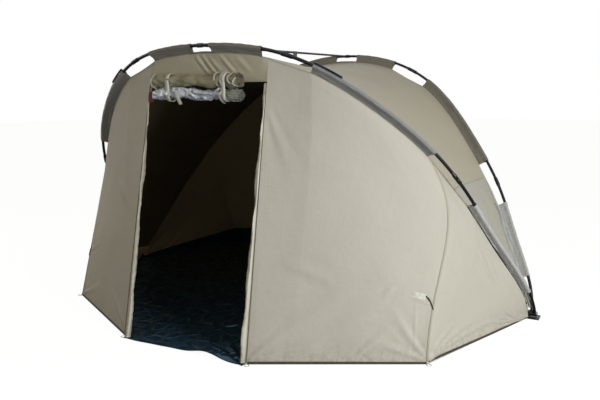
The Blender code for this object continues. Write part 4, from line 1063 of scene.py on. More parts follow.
for side, word in SIDES:
    fore, gore, aft = front_panel(side), front_gore(side), rear_gore(side)
    ends, inner = ((0, WING_AT), 1) if side == RIGHT else ((LAST_AT - WING_AT, LAST_AT), 0)
    wing = roof(*ends, lambda u: WING_SAG * (u if side == RIGHT else 1 - u))
    panel(f"front_panel_{word}", fore, 110, 130, shell,
          creases(FRONT_FOLDS[side], [(0.5, 0.0035, 11), (0.16, 0.0009, 12), (0.05, 0.0002, 13)]),
          body="front_frame")
    panel(f"front_side_panel_{word}", gore, 100, 110, shell,
          creases(GORE_FOLDS, [(0.4, 0.0040, 21), (0.14, 0.0012, 22)]), body="front_frame")
    panel(f"rear_side_panel_{word}", aft, 80, 90, shell,
          creases(REAR_FOLDS, [(0.4, 0.0045, 31), (0.13, 0.0012, 32)]), blend=WALL_TIE)
    panel(f"roof_wing_{word}", wing, 60, 40, shaded_wing_cloth, wing_pleats, blend=ROOF_TIE)
    cloth(f"hub_gusset_{word}_cloth", hub_gusset(side), 12, 16, shell, blend=ROOF_TIE)
    for name, surface, share, node, ride in (
            ("side_seam_tape", fore, 1, "front_panel", {"body": "front_frame"}),
            ("rear_seam_tape", aft, 0, "rear_side_panel", {"blend": WALL_TIE}),
            ("wing_seam_tape", wing, inner, "roof_wing", {"blend": ROOF_TIE})):
        tape_on(f"{name}_{word}", surface, (share, 0), (share, 1), SEAM_WIDTH, seam_tape,
                f"{node}_{word}", slot="shell_cloth", **ride)
    for kind, surface, node, ride in (
            ("front", fore, "front_panel", {"body": "front_frame"}),
            ("side", gore, "front_side_panel", {"body": "front_frame"}),
            ("rear", aft, "rear_side_panel", {"blend": WALL_TIE})):
        low = HEM_UP / np.linalg.norm(surface(0.5, 1.0) - surface(0.5, 0.0))
        tape_on(f"hem_{kind}_{word}", surface, (0, low), (1, low), HEM_WIDTH, hem_and_shadow_tape,
                f"{node}_{word}", count=60, slot="sleeve_web", **ride)

panel("roof_canopy", roof(WING_AT, LAST_AT - WING_AT,
      lambda u: WING_SAG + (ROOF_SAG - WING_SAG) * np.sin(math.pi * u)), 220, 70, shaded_top_cloth,
      creases([], [(0.55, 0.0050, 51), (0.2, 0.0012, 52)]), blend=ROOF_TIE)
back = back_wall()
panel("back_wall", back, 150, 100, shell,
      creases(BACK_FOLDS, [(0.5, 0.0060, 61), (0.16, 0.0015, 62)]), blend=WALL_TIE)
tape_on("hem_back", back, (0, BACK_HEM_SHARE), (1, BACK_HEM_SHARE), HEM_WIDTH, hem_and_shadow_tape,
        "back_wall", blend=WALL_TIE, slot="sleeve_web", count=140)
for share, word in BACK_SEAMS:
    tape_on(f"back_seam_tape_{word}", back, (share, 0.006), (share, 0.994), SEAM_WIDTH,
            seam_tape, "back_wall", blend=WALL_TIE, slot="shell_cloth")
panel("door_header", header(), 120, 30, shaded_top_cloth,
      creases(HEADER_FOLDS, [(0.15, 0.0020, 71), (0.05, 0.0006, 72)], hem=0.08),
      body="front_frame")
tape_on("header_edge_tape", header(), (0, HEADER_TAPE_SHARE), (1, HEADER_TAPE_SHARE),
        HEADER_TAPE_WIDTH, seam_tape, "door_header", count=60, body="front_frame",
        slot="shell_cloth")


# Poles and sleeves

EYE_BORE, EYE_RADIUS, EYE_HALF, EYE_EASE = 0.0064, 0.015, 0.0092, 0.0012
FERRULE_LIP, FERRULE_EASE, POLE_STEP = 0.002, 0.0012, 0.02


def pole(name, arch, start, end, collars, body, node, eye_side=None):
    """One length of a rib's pole with its swaged ferrules, and its eye at a hub."""
    sign, collar, lip = np.sign(end - start), FERRULE_HALF / arch.reach, FERRULE_LIP / arch.reach
    angles = list(np.linspace(start, end, 2 + int(abs(end - start) * arch.reach / POLE_STEP)))
    ends = [(angle, way) for angle, way, has in ((start, sign, collars[0]),
                                                 (end, -sign, collars[1])) if has]
    kept = [(a, POLE_RADIUS) for a in angles
            if all(abs(a - e) > collar + 3 * lip for e, _ in ends)]
    for e, way in ends:
        steps = ((0, -FERRULE_EASE), (lip, 0), (collar - lip, 0), (collar + lip, None))
        kept += [(e + way * run, POLE_RADIUS if grow is None else FERRULE_RADIUS + grow)
                 for run, grow in steps]
    kept.sort(key=lambda row: sign * row[0])
    items = [tube(name, arch.point([a for a, _ in kept]), [r for _, r in kept], pole_finish, 24)]
    if eye_side:
        items.append(eye(f"{name}_eye", np.array((eye_side * arch.half_width, 0, HUB_HEIGHT))))
    return settle(united(items), body, replaces=[node], slot="pole")


def eye(name, centre):
    """A round boss with a bore along X, and eased edges."""
    eased, flank = EYE_RADIUS - EYE_EASE, EYE_HALF - EYE_EASE
    profile = [(-EYE_HALF, EYE_BORE), (-EYE_HALF, eased), (-flank, EYE_RADIUS),
               (flank, EYE_RADIUS), (EYE_HALF, eased), (EYE_HALF, EYE_BORE),
               (-EYE_HALF, EYE_BORE)]
    turn = np.linspace(0, 2 * math.pi, 33)
    rings = np.array([[(x, r * math.cos(t), r * math.sin(t)) for x, r in profile] for t in turn])
    uv = np.stack(np.meshgrid(np.arange(len(profile)) * 0.01, turn * EYE_RADIUS), -1)
    mesh = grid_mesh(name, rings + centre, uv)
    mesh.set_sharp_from_angle(angle=EYE_SHARP)
    return new_object(name, mesh, black_plastic)


PLY, STITCH_OUT, WRAP, EDGE_GAP = 0.0007, -0.0245, 0.0108, 0.0006
WEB_ROWS, TUNNEL_ROWS, SLEEVE_STEP = 9, 17, 0.009
SLEEVE_HEM, HEM_PLY = 0.018, 0.0009
LEG_FOLDS_BELOW, LEG_FOLD = 0.56, 0.0028


def sleeve_places(arch, angles, seed, grow=0.0, web_to=None):
    """Rows of places round a sleeve: web, tunnel and web again."""
    ply = PLY + grow
    angles = np.asarray(angles)[:, None]
    deep = arch.web(angles)
    last = STITCH_OUT if web_to is None else web_to - deep
    web = -deep + EDGE_GAP + (last + deep - EDGE_GAP) * np.linspace(0, 1, WEB_ROWS)
    if web_to is None:
        hold = WRAP + grow
        open_turn = math.pi - math.acos(hold / -STITCH_OUT)
        turn = np.linspace(open_turn, -open_turn, TUNNEL_ROWS)[None] + 0 * angles
        tunnel = hold * np.cos(turn)
    else:
        hold, turn = 0.0, 0 * angles
        tunnel = last
    outs = np.concatenate((web, tunnel, web[:, ::-1]), 1)
    flat = np.full_like(web, ply)
    sides = np.concatenate((flat, hold * np.sin(turn), -flat), 1)
    share = np.clip((outs + deep) / (deep + STITCH_OUT), 0, 1)
    run = angles * arch.reach + 0 * outs
    lean = np.sin(math.pi * share) * (0.0026 * drift(run, outs * 4, 0.10, seed)
                                      + 0.0014 * drift(run * 0.25, outs * 6, 0.02, seed + 1))
    on_leg = np.minimum(angles, math.pi - angles) < LEG_FOLDS_BELOW
    lean = lean + on_leg * np.sin(math.pi * share) * LEG_FOLD * np.sin(
        outs / LEG_FOLD + 1.3 * drift(run, 0 * outs, 0.16, seed + 3))
    tunnel = share >= 1
    gather = np.where(tunnel, 1 + 0.06 * drift(run, sides * 9, 0.04, seed + 2), 1)
    return arch.point(angles, np.where(tunnel, outs * gather, outs),
                      np.where(tunnel, sides * gather, sides + lean))


def sleeve(name, arch, start, end, body, node, seed, net, pale=(False, False), vent=False):
    """A mesh sleeve from the panel seam round the pole, hemmed at its ends."""
    cells = lambda a, b: np.linspace(a, b, 2 + int(abs(b - a) * arch.reach / SLEEVE_STEP))
    half, crown = VENT_HALF / arch.reach, math.pi / 2
    spans = [(start, crown - half), (crown + half, end)] if vent else [(start, end)]
    area, length, items = 0, 0, []
    for index, (a, b) in enumerate(spans):
        places = sleeve_places(arch, cells(a, b), seed)
        width, part, part_area = cut_of(places)
        area, length = area + part_area, length + part
        items.append(sleeve_mesh(f"{name}_{index}", places, net))
        hem = SLEEVE_HEM / arch.reach * np.sign(b - a)
        for order, (low, high) in enumerate(((a, a + hem), (b - hem, b))):
            rim = sleeve_places(arch, np.linspace(low, high, 5), seed, grow=HEM_PLY)
            finish = pale_hem_and_highlight if index == order * (len(spans) - 1) and pale[order] else sleeve_hem
            items.append(sleeve_mesh(f"{name}_hem_{index}_{order}", rim, finish))
    if vent:
        places = sleeve_places(arch, cells(crown - half, crown + half), seed,
                               web_to=VENT_STRIP)
        _, part, part_area = cut_of(places)
        area, length = area + part_area, length + part
        items.append(sleeve_mesh(f"{name}_strip", places, net))
    item = settle(united(items), body, replaces=[node], slot="sleeve_web")
    item.name = name
    cuts[name] = (item, width, length, area, "folded", [node.replace("sleeve", "rib")])
    return item


def sleeve_mesh(name, places, material):
    return new_object(name, grid_mesh(name, places, uv_of(places)), material)


LEG_POLE_FOOT, POLES_APART = 0.0135, 0.0003
LEG_SHADOW_TO, LEG_SHADOW_RADIUS, PIPING_RADIUS = 0.5175, 0.0052, 0.0021
HIGHLIGHT_OUT, HIGHLIGHT_SIDE, HIGHLIGHT_RADIUS, HIGHLIGHT_SHORT = 0.0122, 0.004, 0.0014, 0.004

for arch, (leg, shoulder, crown), prefix, body, shoulder_net in (
        (FRONT, FRONT_SLEEVES, "front", "front_frame", sleeve_net),
        (REAR, REAR_SLEEVES, "rear", "rear_frame", crown_net_painted_shade)):
    leg_top, crown_from = (leg[1] + shoulder[0]) / 2, (shoulder[1] + crown) / 2
    apart = POLES_APART / arch.reach
    foot = LEG_POLE_FOOT * arch.ratio(math.pi / 2) / arch.reach
    pole(f"{prefix}_crown_pole", arch, crown_from + apart, math.pi - crown_from - apart,
         (True, True), body, f"{prefix}_rib_crown")
    sleeve(f"{prefix}_crown_sleeve", arch, crown, math.pi - crown, body,
           f"{prefix}_sleeve_crown", 81, crown_net_painted_shade, (True, True), vent=True)
    for side, word in SIDES:
        at = lambda angle: mirrored(angle, side)
        pole(f"{prefix}_shoulder_pole_{word}", arch, at(leg_top + apart), at(crown_from - apart),
             (True, True), body, f"{prefix}_rib_shoulder_{word}")
        pole(f"{prefix}_leg_pole_{word}", arch, at(foot), at(leg_top - apart), (False, True),
             body, f"{prefix}_rib_leg_{word}", side)
        sleeve(f"{prefix}_shoulder_sleeve_{word}", arch, at(shoulder[0]), at(shoulder[1]), body,
               f"{prefix}_sleeve_shoulder_{word}", 83 + side, shoulder_net)
        sleeve(f"{prefix}_leg_sleeve_{word}", arch, at(leg[0]), at(leg[1]), body,
               f"{prefix}_sleeve_leg_{word}", 87 + side, leg_net_painted_light, (False, True))
        # Painted shade: a dark tube along the front leg's seam stands in for the shadow between the
        # sleeve and the front side panel.
        if prefix == "front":
            leg_run = np.linspace(at(FRONT_HUB_END), at(LEG_SHADOW_TO), 60)
            tube(f"front_leg_seam_{word}", arch.seam(leg_run), LEG_SHADOW_RADIUS, hem_and_shadow_tape, 10,
                 body=body, slot="sleeve_web")
        # Painted highlight: a pale tube along the shoulder sleeve's outer edge stands in for the
        # light caught where the sleeve wraps the pole.
        bound = np.linspace(at(shoulder[0] + HIGHLIGHT_SHORT), at(shoulder[1] - HIGHLIGHT_SHORT), 70)
        tube(f"{prefix}_shoulder_highlight_{word}", arch.point(bound, HIGHLIGHT_OUT, HIGHLIGHT_SIDE),
             HIGHLIGHT_RADIUS, pale_hem_and_highlight, 8, body=body, slot="sleeve_web")
    angles = np.linspace(arch.hub_end, math.pi - arch.hub_end, 420)
    piping = tube(f"{prefix}_seam_piping", arch.seam(angles), PIPING_RADIUS, seam_tape, 8,
                  body=body, slot="shell_cloth")
    trims.setdefault("roof_canopy_cloth", []).append(piping)


# Doorway

FLAP_FOOT, FLAP_TOP_GAP, FLAP_NARROW, FLAP_FLARE, FLAP_LAP = 0.010, 0.036, 0.010, 0.048, 0.013
FLAP_WIDTH_SHARES = {LEFT: 1.0, RIGHT: 0.8}
FLAP_GAP, FLAP_BACK, FLAP_SWAY = 0.0009, 0.002, 0.004
ZIP_SHARE, ZIP_WIDTH, FLAP_EDGE_SHARE, FLAP_EDGE_WIDTH = 0.13, 0.0050, 0.965, 0.005


def flap_surface(side):
    """A storm flap from the door edge inward, wider and looser towards the ground."""
    edge = jamb(side)
    length = np.linalg.norm(edge(1.0) - edge(0.0))
    low, top = FLAP_FOOT / length, HEADER_SHARE - FLAP_TOP_GAP / length

    def read(u, w):
        u, w = shares_of(u, w)
        place = edge(low + (top - low) * w)
        wide = FLAP_NARROW + FLAP_FLARE * (1 - w) ** 1.3
        loose = smooth(u, 0.32, 0.75)
        run = w * length
        wave = (0.0042 * drift(run, u * 0.05, 0.11, 91 + side)
                + 0.0012 * drift(run, u * 0.1, 0.025, 93 + side)
                - 0.36 * wide * np.sin(math.pi * u ** 0.8))
        wide = wide * FLAP_WIDTH_SHARES[side]
        lap = FLAP_LAP * (1 - w)
        sway = FLAP_SWAY * loose * drift(run, u, 0.2, 95)
        place[..., 0] -= side * (FLAP_GAP - lap + wide * u + sway)
        place[..., 1] += -FLAP_BACK * loose + loose * wave - 0.5 * lap
        return place

    return read


for side, word in SIDES:
    flap, node = flap_surface(side), f"storm_flap_{word}"
    panel(node, flap, 16, 300, flap_cloth_painted_light, body="front_frame", slot="pale_webbing", held="hung",
          rests_on=[f"front_panel_{word}_cloth"])
    tape_on(f"zip_chain_{word}", flap, (ZIP_SHARE, 0.001), (ZIP_SHARE, 0.999), ZIP_WIDTH,
            zip_chain, node, thick=0.0008, count=200, lift=0.0002, body="front_frame",
            slot="black_plastic")
    tape_on(f"flap_edge_{word}", flap, (FLAP_EDGE_SHARE, 0.002), (FLAP_EDGE_SHARE, 0.998),
            FLAP_EDGE_WIDTH, seam_tape, node, thick=0.0010, count=200, lift=0.0002,
            body="front_frame", slot="pale_webbing")

DOOR_ROLL, WINDOW_ROLL, NET_ROLL, ROLL_HALF, ROLL_SHIFT = 0.036, 0.034, 0.033, 0.292, -0.024
ROLL_SWELL, ROLL_CLEAR, STRAP_PLY = 1.075, 0.0003, 0.0015
ROLL_HANG = math.radians(25)
NET_START, WINDOW_END, DOOR_END, ROLL_INSET = 0.135, 0.125, 0.03, 0.022
STRAP_PINCH_AT, STRAP_PINCH_HALF, WAIST_AT, WAIST_HALF = 0.181, 0.02, 0.01, 0.15
ROLL_LIMIT, TURN_CELLS, ROLL_CELLS = 1.07, 36, 120
ROLL_SAG, ROLL_SAG_PACE, ROLL_SAG_FROM = 0.004, 11, 0.30

hang = jamb(RIGHT)(HEADER_SHARE)
away = DOOR_ROLL * ROLL_SWELL + STRAP_PLY + ROLL_CLEAR
ROLL_TOP = np.array((ROLL_SHIFT, hang[1] - away * math.cos(ROLL_HANG),
                     hang[2] - away * math.sin(ROLL_HANG)))
ROLL_LOW = ROLL_TOP - np.array((0, 0, (DOOR_ROLL + WINDOW_ROLL) * ROLL_SWELL + ROLL_CLEAR))


def roll_places(centre, radius, start, end, core, turns, crumple, seed, ends=0.01, waist=0.0,
                pinch=0.10):
    """A sheet wound from its core outward, thinner at its waist and pinched by the straps."""
    spin = np.linspace(0, 2 * math.pi * turns, TURN_CELLS * turns + 1)[:, None]
    share = np.linspace(0, 1, ROLL_CELLS)[None, :]
    grown = core + (radius - core) * spin / spin.max()
    low = start + ends * drift(spin, 0 * spin, 2.2, seed)
    high = end + ends * drift(spin, 0 * spin + 9, 2.2, seed + 1)
    x = low + (high - low) * share
    outer = smooth(spin / spin.max(), 0.5, 1.0)
    turn = spin + 0 * share
    wave = crumple * (drift(x + 0.02 * np.cos(turn), radius * np.sin(turn) * 2.2, 0.06, seed + 2)
                      + 0.6 * drift(x * 1.2 + 0.05 * np.sin(turn), radius * np.cos(turn) * 3,
                                    0.028, seed + 3))
    bound = 1 - pinch * sum(np.exp(-((x - place) / STRAP_PINCH_HALF) ** 2)
                            for place in (-STRAP_PINCH_AT, STRAP_PINCH_AT))
    bound = bound * (1 - waist * np.exp(-((x - WAIST_AT) / WAIST_HALF) ** 2))
    reach = np.minimum(grown * bound + wave * (0.25 + 0.75 * outer), radius * ROLL_LIMIT)
    sag = ROLL_SAG * np.sin((x + ROLL_SAG_FROM) * ROLL_SAG_PACE)
    return np.stack((centre[0] + x, centre[1] + reach * np.cos(turn), centre[2] + sag
                     + reach * np.sin(turn)), -1)


def roll(name, material, node, slot, **shape):
    places = roll_places(**shape)
    item = new_object(name, grid_mesh(name, places, uv_of(places)), material,
                      body="front_frame", replaces=[node] if node else [], slot=slot)
    cuts[name] = (item, *cut_of(places), "folded", ["roll_strap_right_band"])
    return item


roll("rolled_door", rolled_cloth, "door_roll", "shell_cloth", centre=ROLL_TOP,
     radius=DOOR_ROLL, start=-ROLL_HALF, end=ROLL_HALF - DOOR_END, core=0.006, turns=11,
     crumple=0.0056, seed=101, waist=0.16)
roll("rolled_window", clear_film, "window_roll", "clear_window",
     centre=ROLL_LOW + np.array((0, 0, 0.008)), radius=WINDOW_ROLL,
     start=-ROLL_HALF + ROLL_INSET, end=ROLL_HALF - WINDOW_END, core=0.010, turns=6,
     crumple=0.0085, seed=111, ends=0.020, waist=0.12, pinch=0.02)
roll("rolled_net", dotted_net, None, "sleeve_web", centre=ROLL_LOW + np.array((0, 0, 0.002)),
     radius=NET_ROLL, start=ROLL_HALF - NET_START, end=ROLL_HALF - ROLL_INSET, core=0.008,
     turns=6, crumple=0.0060, seed=121, ends=0.008)

LOOP_RADIUS, LOOP_WIDTH, LOOP_THICK, LOOP_LIFT = 0.0385, 0.009, 0.0012, 0.0008
TAPE_LOOPS = ((0.150, -0.022, 95, -60, ROLL_TOP), (0.186, -0.024, 80, -55, ROLL_TOP),
              (0.232, -0.020, 70, -35, ROLL_TOP), (0.262, -0.018, 20, -70, ROLL_TOP),
              (-0.268, -0.024, 60, -70, ROLL_TOP), (0.176, -0.016, 30, -80, ROLL_LOW))


def tape_round(name, x, lean, start, end, centre):
    """A tape that comes out of a roll and runs part of the way round its front."""
    turn, share = np.radians(np.linspace(start, end, 26)), np.linspace(0, 1, 26)
    wide = LOOP_RADIUS * (1 + 0.10 * np.sin(share * 7 + x * 40))
    middle = np.stack((centre[0] + x + lean * np.sin(share * math.pi), centre[1]
                       - wide * np.cos(turn), centre[2] + wide * np.sin(turn)), 1)
    out = np.stack((0 * turn, -np.cos(turn), np.sin(turn)), 1)
    run = np.gradient(middle, axis=0)
    return band(name, middle, np.cross(run, out), out, LOOP_WIDTH, LOOP_THICK, webbing,
                LOOP_LIFT, body="front_frame", slot="pale_webbing")


for index, place in enumerate(TAPE_LOOPS):
    tape_round(f"rolled_zip_tape_{index}", *place)


def hanging_tab(name, x, up, length, width, lean, material, slot, depth=0.041):
    """A short length of tape that hangs before the rolls."""
    share = np.linspace(0, 1, 14)
    middle = np.stack((ROLL_TOP[0] + x + lean * share, ROLL_TOP[1] - depth
                       - 0.004 * np.sin(share * math.pi), ROLL_LOW[2] + up - length * share), 1)
    across = np.tile((1.0, 0, 0.15), (14, 1))
    return band(name, middle, across, np.tile((0, -1.0, 0), (14, 1)), width, 0.0014, material,
                body="front_frame", slot=slot)


hanging_tab("roll_strap_tail", x=-0.120, up=0.024, length=0.072, width=0.022, lean=0.034,
            material=webbing, slot="pale_webbing")
hanging_tab("red_pull_tab", x=-0.310, up=0.022, length=0.058, width=0.038, lean=-0.006,
            material=red_tab, slot="sleeve_web", depth=0.010)

STRAP_WIDTH, STRAP_CLEAR, STRAP_SHARE = 0.026, 0.0016, 0.62
STRAP_TOP = DOOR_ROLL * 1.03 + STRAP_CLEAR
STRAP_LOW = WINDOW_ROLL * 0.94 + STRAP_CLEAR
STRAP_NIP, STRAP_LAP, UPRIGHT = 0.35, 0.1, math.pi / 2


def strap_loop(name, x):
    """A webbing loop that holds both rolls up to the header."""

    def arc(centre, reach, start, end, count):
        return [(centre[1] + reach * math.cos(t), centre[2] + abs(reach) * math.sin(t))
                for t in np.linspace(start, end, count)]

    path = (arc(ROLL_TOP, -STRAP_TOP, UPRIGHT, -STRAP_NIP, 16)
            + arc(ROLL_LOW, -STRAP_LOW, STRAP_NIP, -UPRIGHT, 16)
            + arc(ROLL_LOW, STRAP_LOW, -UPRIGHT + STRAP_LAP, STRAP_NIP, 12)
            + arc(ROLL_TOP, STRAP_TOP, -STRAP_NIP, UPRIGHT, 12)[:-1])
    path = np.array(path + path[:1])
    middle = np.column_stack((np.full(len(path), ROLL_TOP[0] + x), path))
    run = np.gradient(middle, axis=0)
    run /= np.linalg.norm(run, axis=1, keepdims=True)
    across = np.tile((1.0, 0, 0), (len(path), 1))
    return band(name, middle, across, np.cross(across, run), STRAP_WIDTH, STRAP_PLY, webbing)


for side, word in SIDES:
    loop = strap_loop(f"roll_strap_{word}_band", side * ROLL_HALF * STRAP_SHARE)
    settle(loop, "front_frame", replaces=[f"roll_strap_{word}"], slot="pale_webbing")


# Floor

FLOOR_FRONT, FLOOR_BACK, FLOOR_FINE_TO = -1.415, 1.412, -0.9
DOOR_HALF, FLOOR_HUB_HALF = 0.393, 1.513
FLOOR_EDGE = ((FLOOR_FRONT, DOOR_HALF), (-1.379, DOOR_HALF), (-0.953, 1.186),
              (-HUB_HEM_OFF, FLOOR_HUB_HALF), (HUB_HEM_OFF, FLOOR_HUB_HALF), (1.042, 1.282),
              (FLOOR_BACK, 0.436))
FLOOR_FOLDS = (((0.02, -1.32), (0.22, -1.385), 0.013, 0.009, False),
               ((0.08, -1.27), (0.26, -1.34), 0.011, 0.008, False),
               ((0.22, -1.385), (0.37, -1.395), 0.010, 0.009, False),
               ((0.36, -1.38), (0.08, -1.14), 0.024, 0.008, True),
               ((-0.60, -1.02), (0.40, -0.94), 0.030, 0.009, False),
               ((-0.80, -0.60), (0.50, -0.75), 0.035, 0.010, False),
               ((-0.90, -0.20), (0.30, -0.40), 0.040, 0.010, False),
               ((0.80, 0.60), (-0.60, 0.30), 0.040, 0.010, False))
LIP_HUMPS, LIP_FROM = ((0.19, 0.09, 0.025), (-0.12, 0.12, 0.007)), -1.33
FLOOR_LIFT, RIM_IN, RIM_LIFT = 0.0022, 0.015, 0.0015
RIM_HEIGHT, RIM_ROWS, RIM_COLS = 0.1, 7, 140
BACK_RIM, HUB_END_RIM, FRONT_RIM, HUB_RIM = 0.098, 0.03, 0.014, 0.02
SLOPE_READ_AT = 0.2


def floor_places():
    """The floor as drawn over its outline, creased, with the lip at the door pushed up."""
    edge_y, edge_half = np.array(FLOOR_EDGE).T
    y = np.concatenate((np.linspace(FLOOR_FRONT, FLOOR_FINE_TO, 90),
                        np.linspace(FLOOR_FINE_TO, FLOOR_BACK, 150)[1:]))
    u, y = np.meshgrid(np.linspace(-1, 1, 241), y)
    x = u * np.interp(y, edge_y, edge_half)
    z = 0.0035 * (1 + drift(x, y, 0.22, 131)) + 0.002 * (1 + drift(x * 0.5, y, 0.06, 132))
    for start, end, width, height, pinned in FLOOR_FOLDS:
        z = z + fold(x, y, start, end, width, height, pinned)
    z = z * smooth(1 - np.abs(u), 0, 0.05) * smooth(FLOOR_BACK - y, 0, 0.06)
    hump = sum(high * np.exp(-((x - at) / half) ** 2) for at, half, high in LIP_HUMPS)
    lip = smooth(LIP_FROM - y, 0, 0.07) * smooth(DOOR_HALF - np.abs(x), 0, 0.05)
    return np.stack((x, y, np.maximum(z + hump * lip, 0.0) + FLOOR_LIFT), -1)


def rim_places(surface, u, rim):
    """The floor's turned-up edge, just inside a wall."""
    share = rim / surface(u, 0 * u + SLOPE_READ_AT)[:, 2] * SLOPE_READ_AT
    rows = []
    for step in np.linspace(0, 1, RIM_ROWS):
        place = surface(u, share * step)
        inner = inward(place) * np.array((1, 1, 0))
        rows.append(place + inner / np.linalg.norm(inner, axis=1, keepdims=True) * RIM_IN)
    rows = np.array(rows)
    rows[0, :, 2] += RIM_LIFT
    return rows


def floor_piece(name, places, uv):
    return new_object(name, grid_mesh(name, places, uv), floor_film)


flat_floor = floor_places()
area = area_of(flat_floor)
width, length = np.ptp(flat_floor[..., 0]), np.ptp(flat_floor[..., 1])
pieces = [floor_piece("groundsheet_film", flat_floor, flat_floor[..., :2].copy())]
across = np.linspace(0, 1, RIM_COLS)
to_hub = BACK_RIM - (BACK_RIM - HUB_END_RIM) * across
RIMS = ((back_wall(), BACK_RIM), (rear_gore(RIGHT), to_hub), (rear_gore(LEFT), to_hub),
        (front_gore(RIGHT), FRONT_RIM), (front_gore(LEFT), FRONT_RIM),
        (hub_gusset(RIGHT), HUB_RIM), (hub_gusset(LEFT), HUB_RIM))
for index, (surface, rim) in enumerate(RIMS):
    places = rim_places(surface, across, rim)
    uv = np.stack(np.meshgrid(across * 2, np.linspace(0, RIM_HEIGHT, RIM_ROWS)), -1)
    area += area_of(places)
    pieces.append(floor_piece(f"groundsheet_rim_{index}", places, uv))
floor_sheet = settle(united(pieces), "ground", replaces=["groundsheet"], slot="floor_sheet")
cuts["groundsheet_film"] = (floor_sheet, width + 2 * RIM_HEIGHT, length + RIM_HEIGHT, area,
                            "laid", [])


# Fittings

TENSION_FROM, TENSION_TO_GAP, TENSION_OUT, TENSION_WIDTH = 0.058, 0.0002, -0.021, 0.020
TENSION_THICK, TENSION_EDGES = 0.0016, (("outer", -0.0125), ("inner", -0.0295))
EDGE_WIDTH, EDGE_THICK, EDGE_LIFT, ALONG_OUT = 0.0034, 0.0012, 0.0004, 0.006
ROD_SPAN, ROD_RADIUS, ROD_ROUNDING = (1.085, 1.175), 0.006, (0.0045, 0.0057)
ROD_CLEAR, ROD_SPLAY = 0.0003, math.radians(10)
SLEEVE_CLEAR, SLEEVE_PLY = 0.0004, 0.0012
SHOULDER_PLIES = POLE_RADIUS + SLEEVE_CLEAR + SLEEVE_PLY
RING_RADIUS, RING_WIRE, EYELET_UP = 0.012, 0.0014, 0.010
PEG_LOOP_WIDTH, PEG_LOOP_THICK, PEG_LOOP_TURN, PEG_LOOP_LOW = 0.012, 0.0010, 0.0026, 0.0016
TAB_UP, TAB_FROM_SEAM, TAB_LENGTH, TAB_WIDTH = 0.31, 0.050, 0.070, 0.029
CORD_REACH, CORD_DROP, CORD_UP, CORD_RADIUS = 0.052, 0.056, 0.004, 0.0024


def tension_strap(side, word):
    """The bound webbing strap from a hub up to the foot of the front leg's sleeve."""
    angles = np.linspace(mirrored(TENSION_FROM / FRONT.reach, side),
                         mirrored(FRONT_SLEEVES[0][0] - TENSION_TO_GAP, side), 20)
    out = np.tile(FRONT.normal, (20, 1))
    middle = FRONT.point(angles, TENSION_OUT)
    band(f"tension_strap_{word}_band", middle, FRONT.point(angles, TENSION_OUT + ALONG_OUT)
         - middle, out, TENSION_WIDTH, TENSION_THICK, webbing, -TENSION_THICK / 2,
         body="front_frame", replaces=[f"tension_strap_{word}"], slot="pale_webbing")
    for edge, place in TENSION_EDGES:
        middle = FRONT.point(angles, place)
        band(f"tension_strap_{word}_{edge}_edge", middle, FRONT.point(angles, place + 0.002)
             - middle, out, EDGE_WIDTH, EDGE_THICK, hem_and_shadow_tape, EDGE_LIFT, body="front_frame",
             slot="sleeve_web")


def shoulder_rod(side, word):
    """The short rod that lies on the front rib over the shoulder sleeve's upper end."""
    angles = np.linspace(*(mirrored(angle, side) for angle in ROD_SPAN), 60)
    out = SHOULDER_PLIES / math.cos(ROD_SPLAY) + ROD_RADIUS + ROD_CLEAR
    radii = np.full(60, ROD_RADIUS)
    radii[[0, -1]], radii[[1, -2]] = ROD_ROUNDING
    tube(f"shoulder_rod_{word}_pole", FRONT.point(angles, out), radii, rod_finish_painted_reflection, 20,
         body="front_frame", replaces=[f"shoulder_rod_{word}"], slot="black_plastic")


def peg_ring(kind, corner, side, word):
    """A steel peg ring and the webbing loop that ties it to a corner of the hem."""
    low, high = (np.array(corner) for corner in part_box(f"peg_ring_{kind}_{word}"))
    centre = (low + high) / 2
    flat_ring(f"peg_ring_{kind}_{word}_wire", centre, RING_RADIUS, RING_WIRE, steel,
              body="front_frame", replaces=[f"peg_ring_{kind}_{word}"], slot="steel")
    foot = ground(corner, side) + np.array((0, 0, EYELET_UP))
    way = (centre - foot) * np.array((1, 1, 0))
    way /= np.linalg.norm(way)
    near = centre - way * RING_RADIUS
    turns = [near + PEG_LOOP_TURN * (way * math.cos(t) - np.array((0, 0, math.sin(t))))
             for t in np.linspace(-math.pi / 2, math.pi / 2, 9)]
    path = np.array([foot + np.array((0, 0, 0.003)), *turns, foot - np.array((0, 0, 0.004))])
    path[:, 2] = np.maximum(path[:, 2], PEG_LOOP_LOW)
    sideways = np.tile(np.cross(way, (0, 0, 1)), (len(path), 1))
    run = np.gradient(path, axis=0)
    band(f"peg_loop_{kind}_{word}", path, sideways, np.cross(sideways, run), PEG_LOOP_WIDTH,
         PEG_LOOP_THICK, webbing, body="front_frame", slot="pale_webbing")


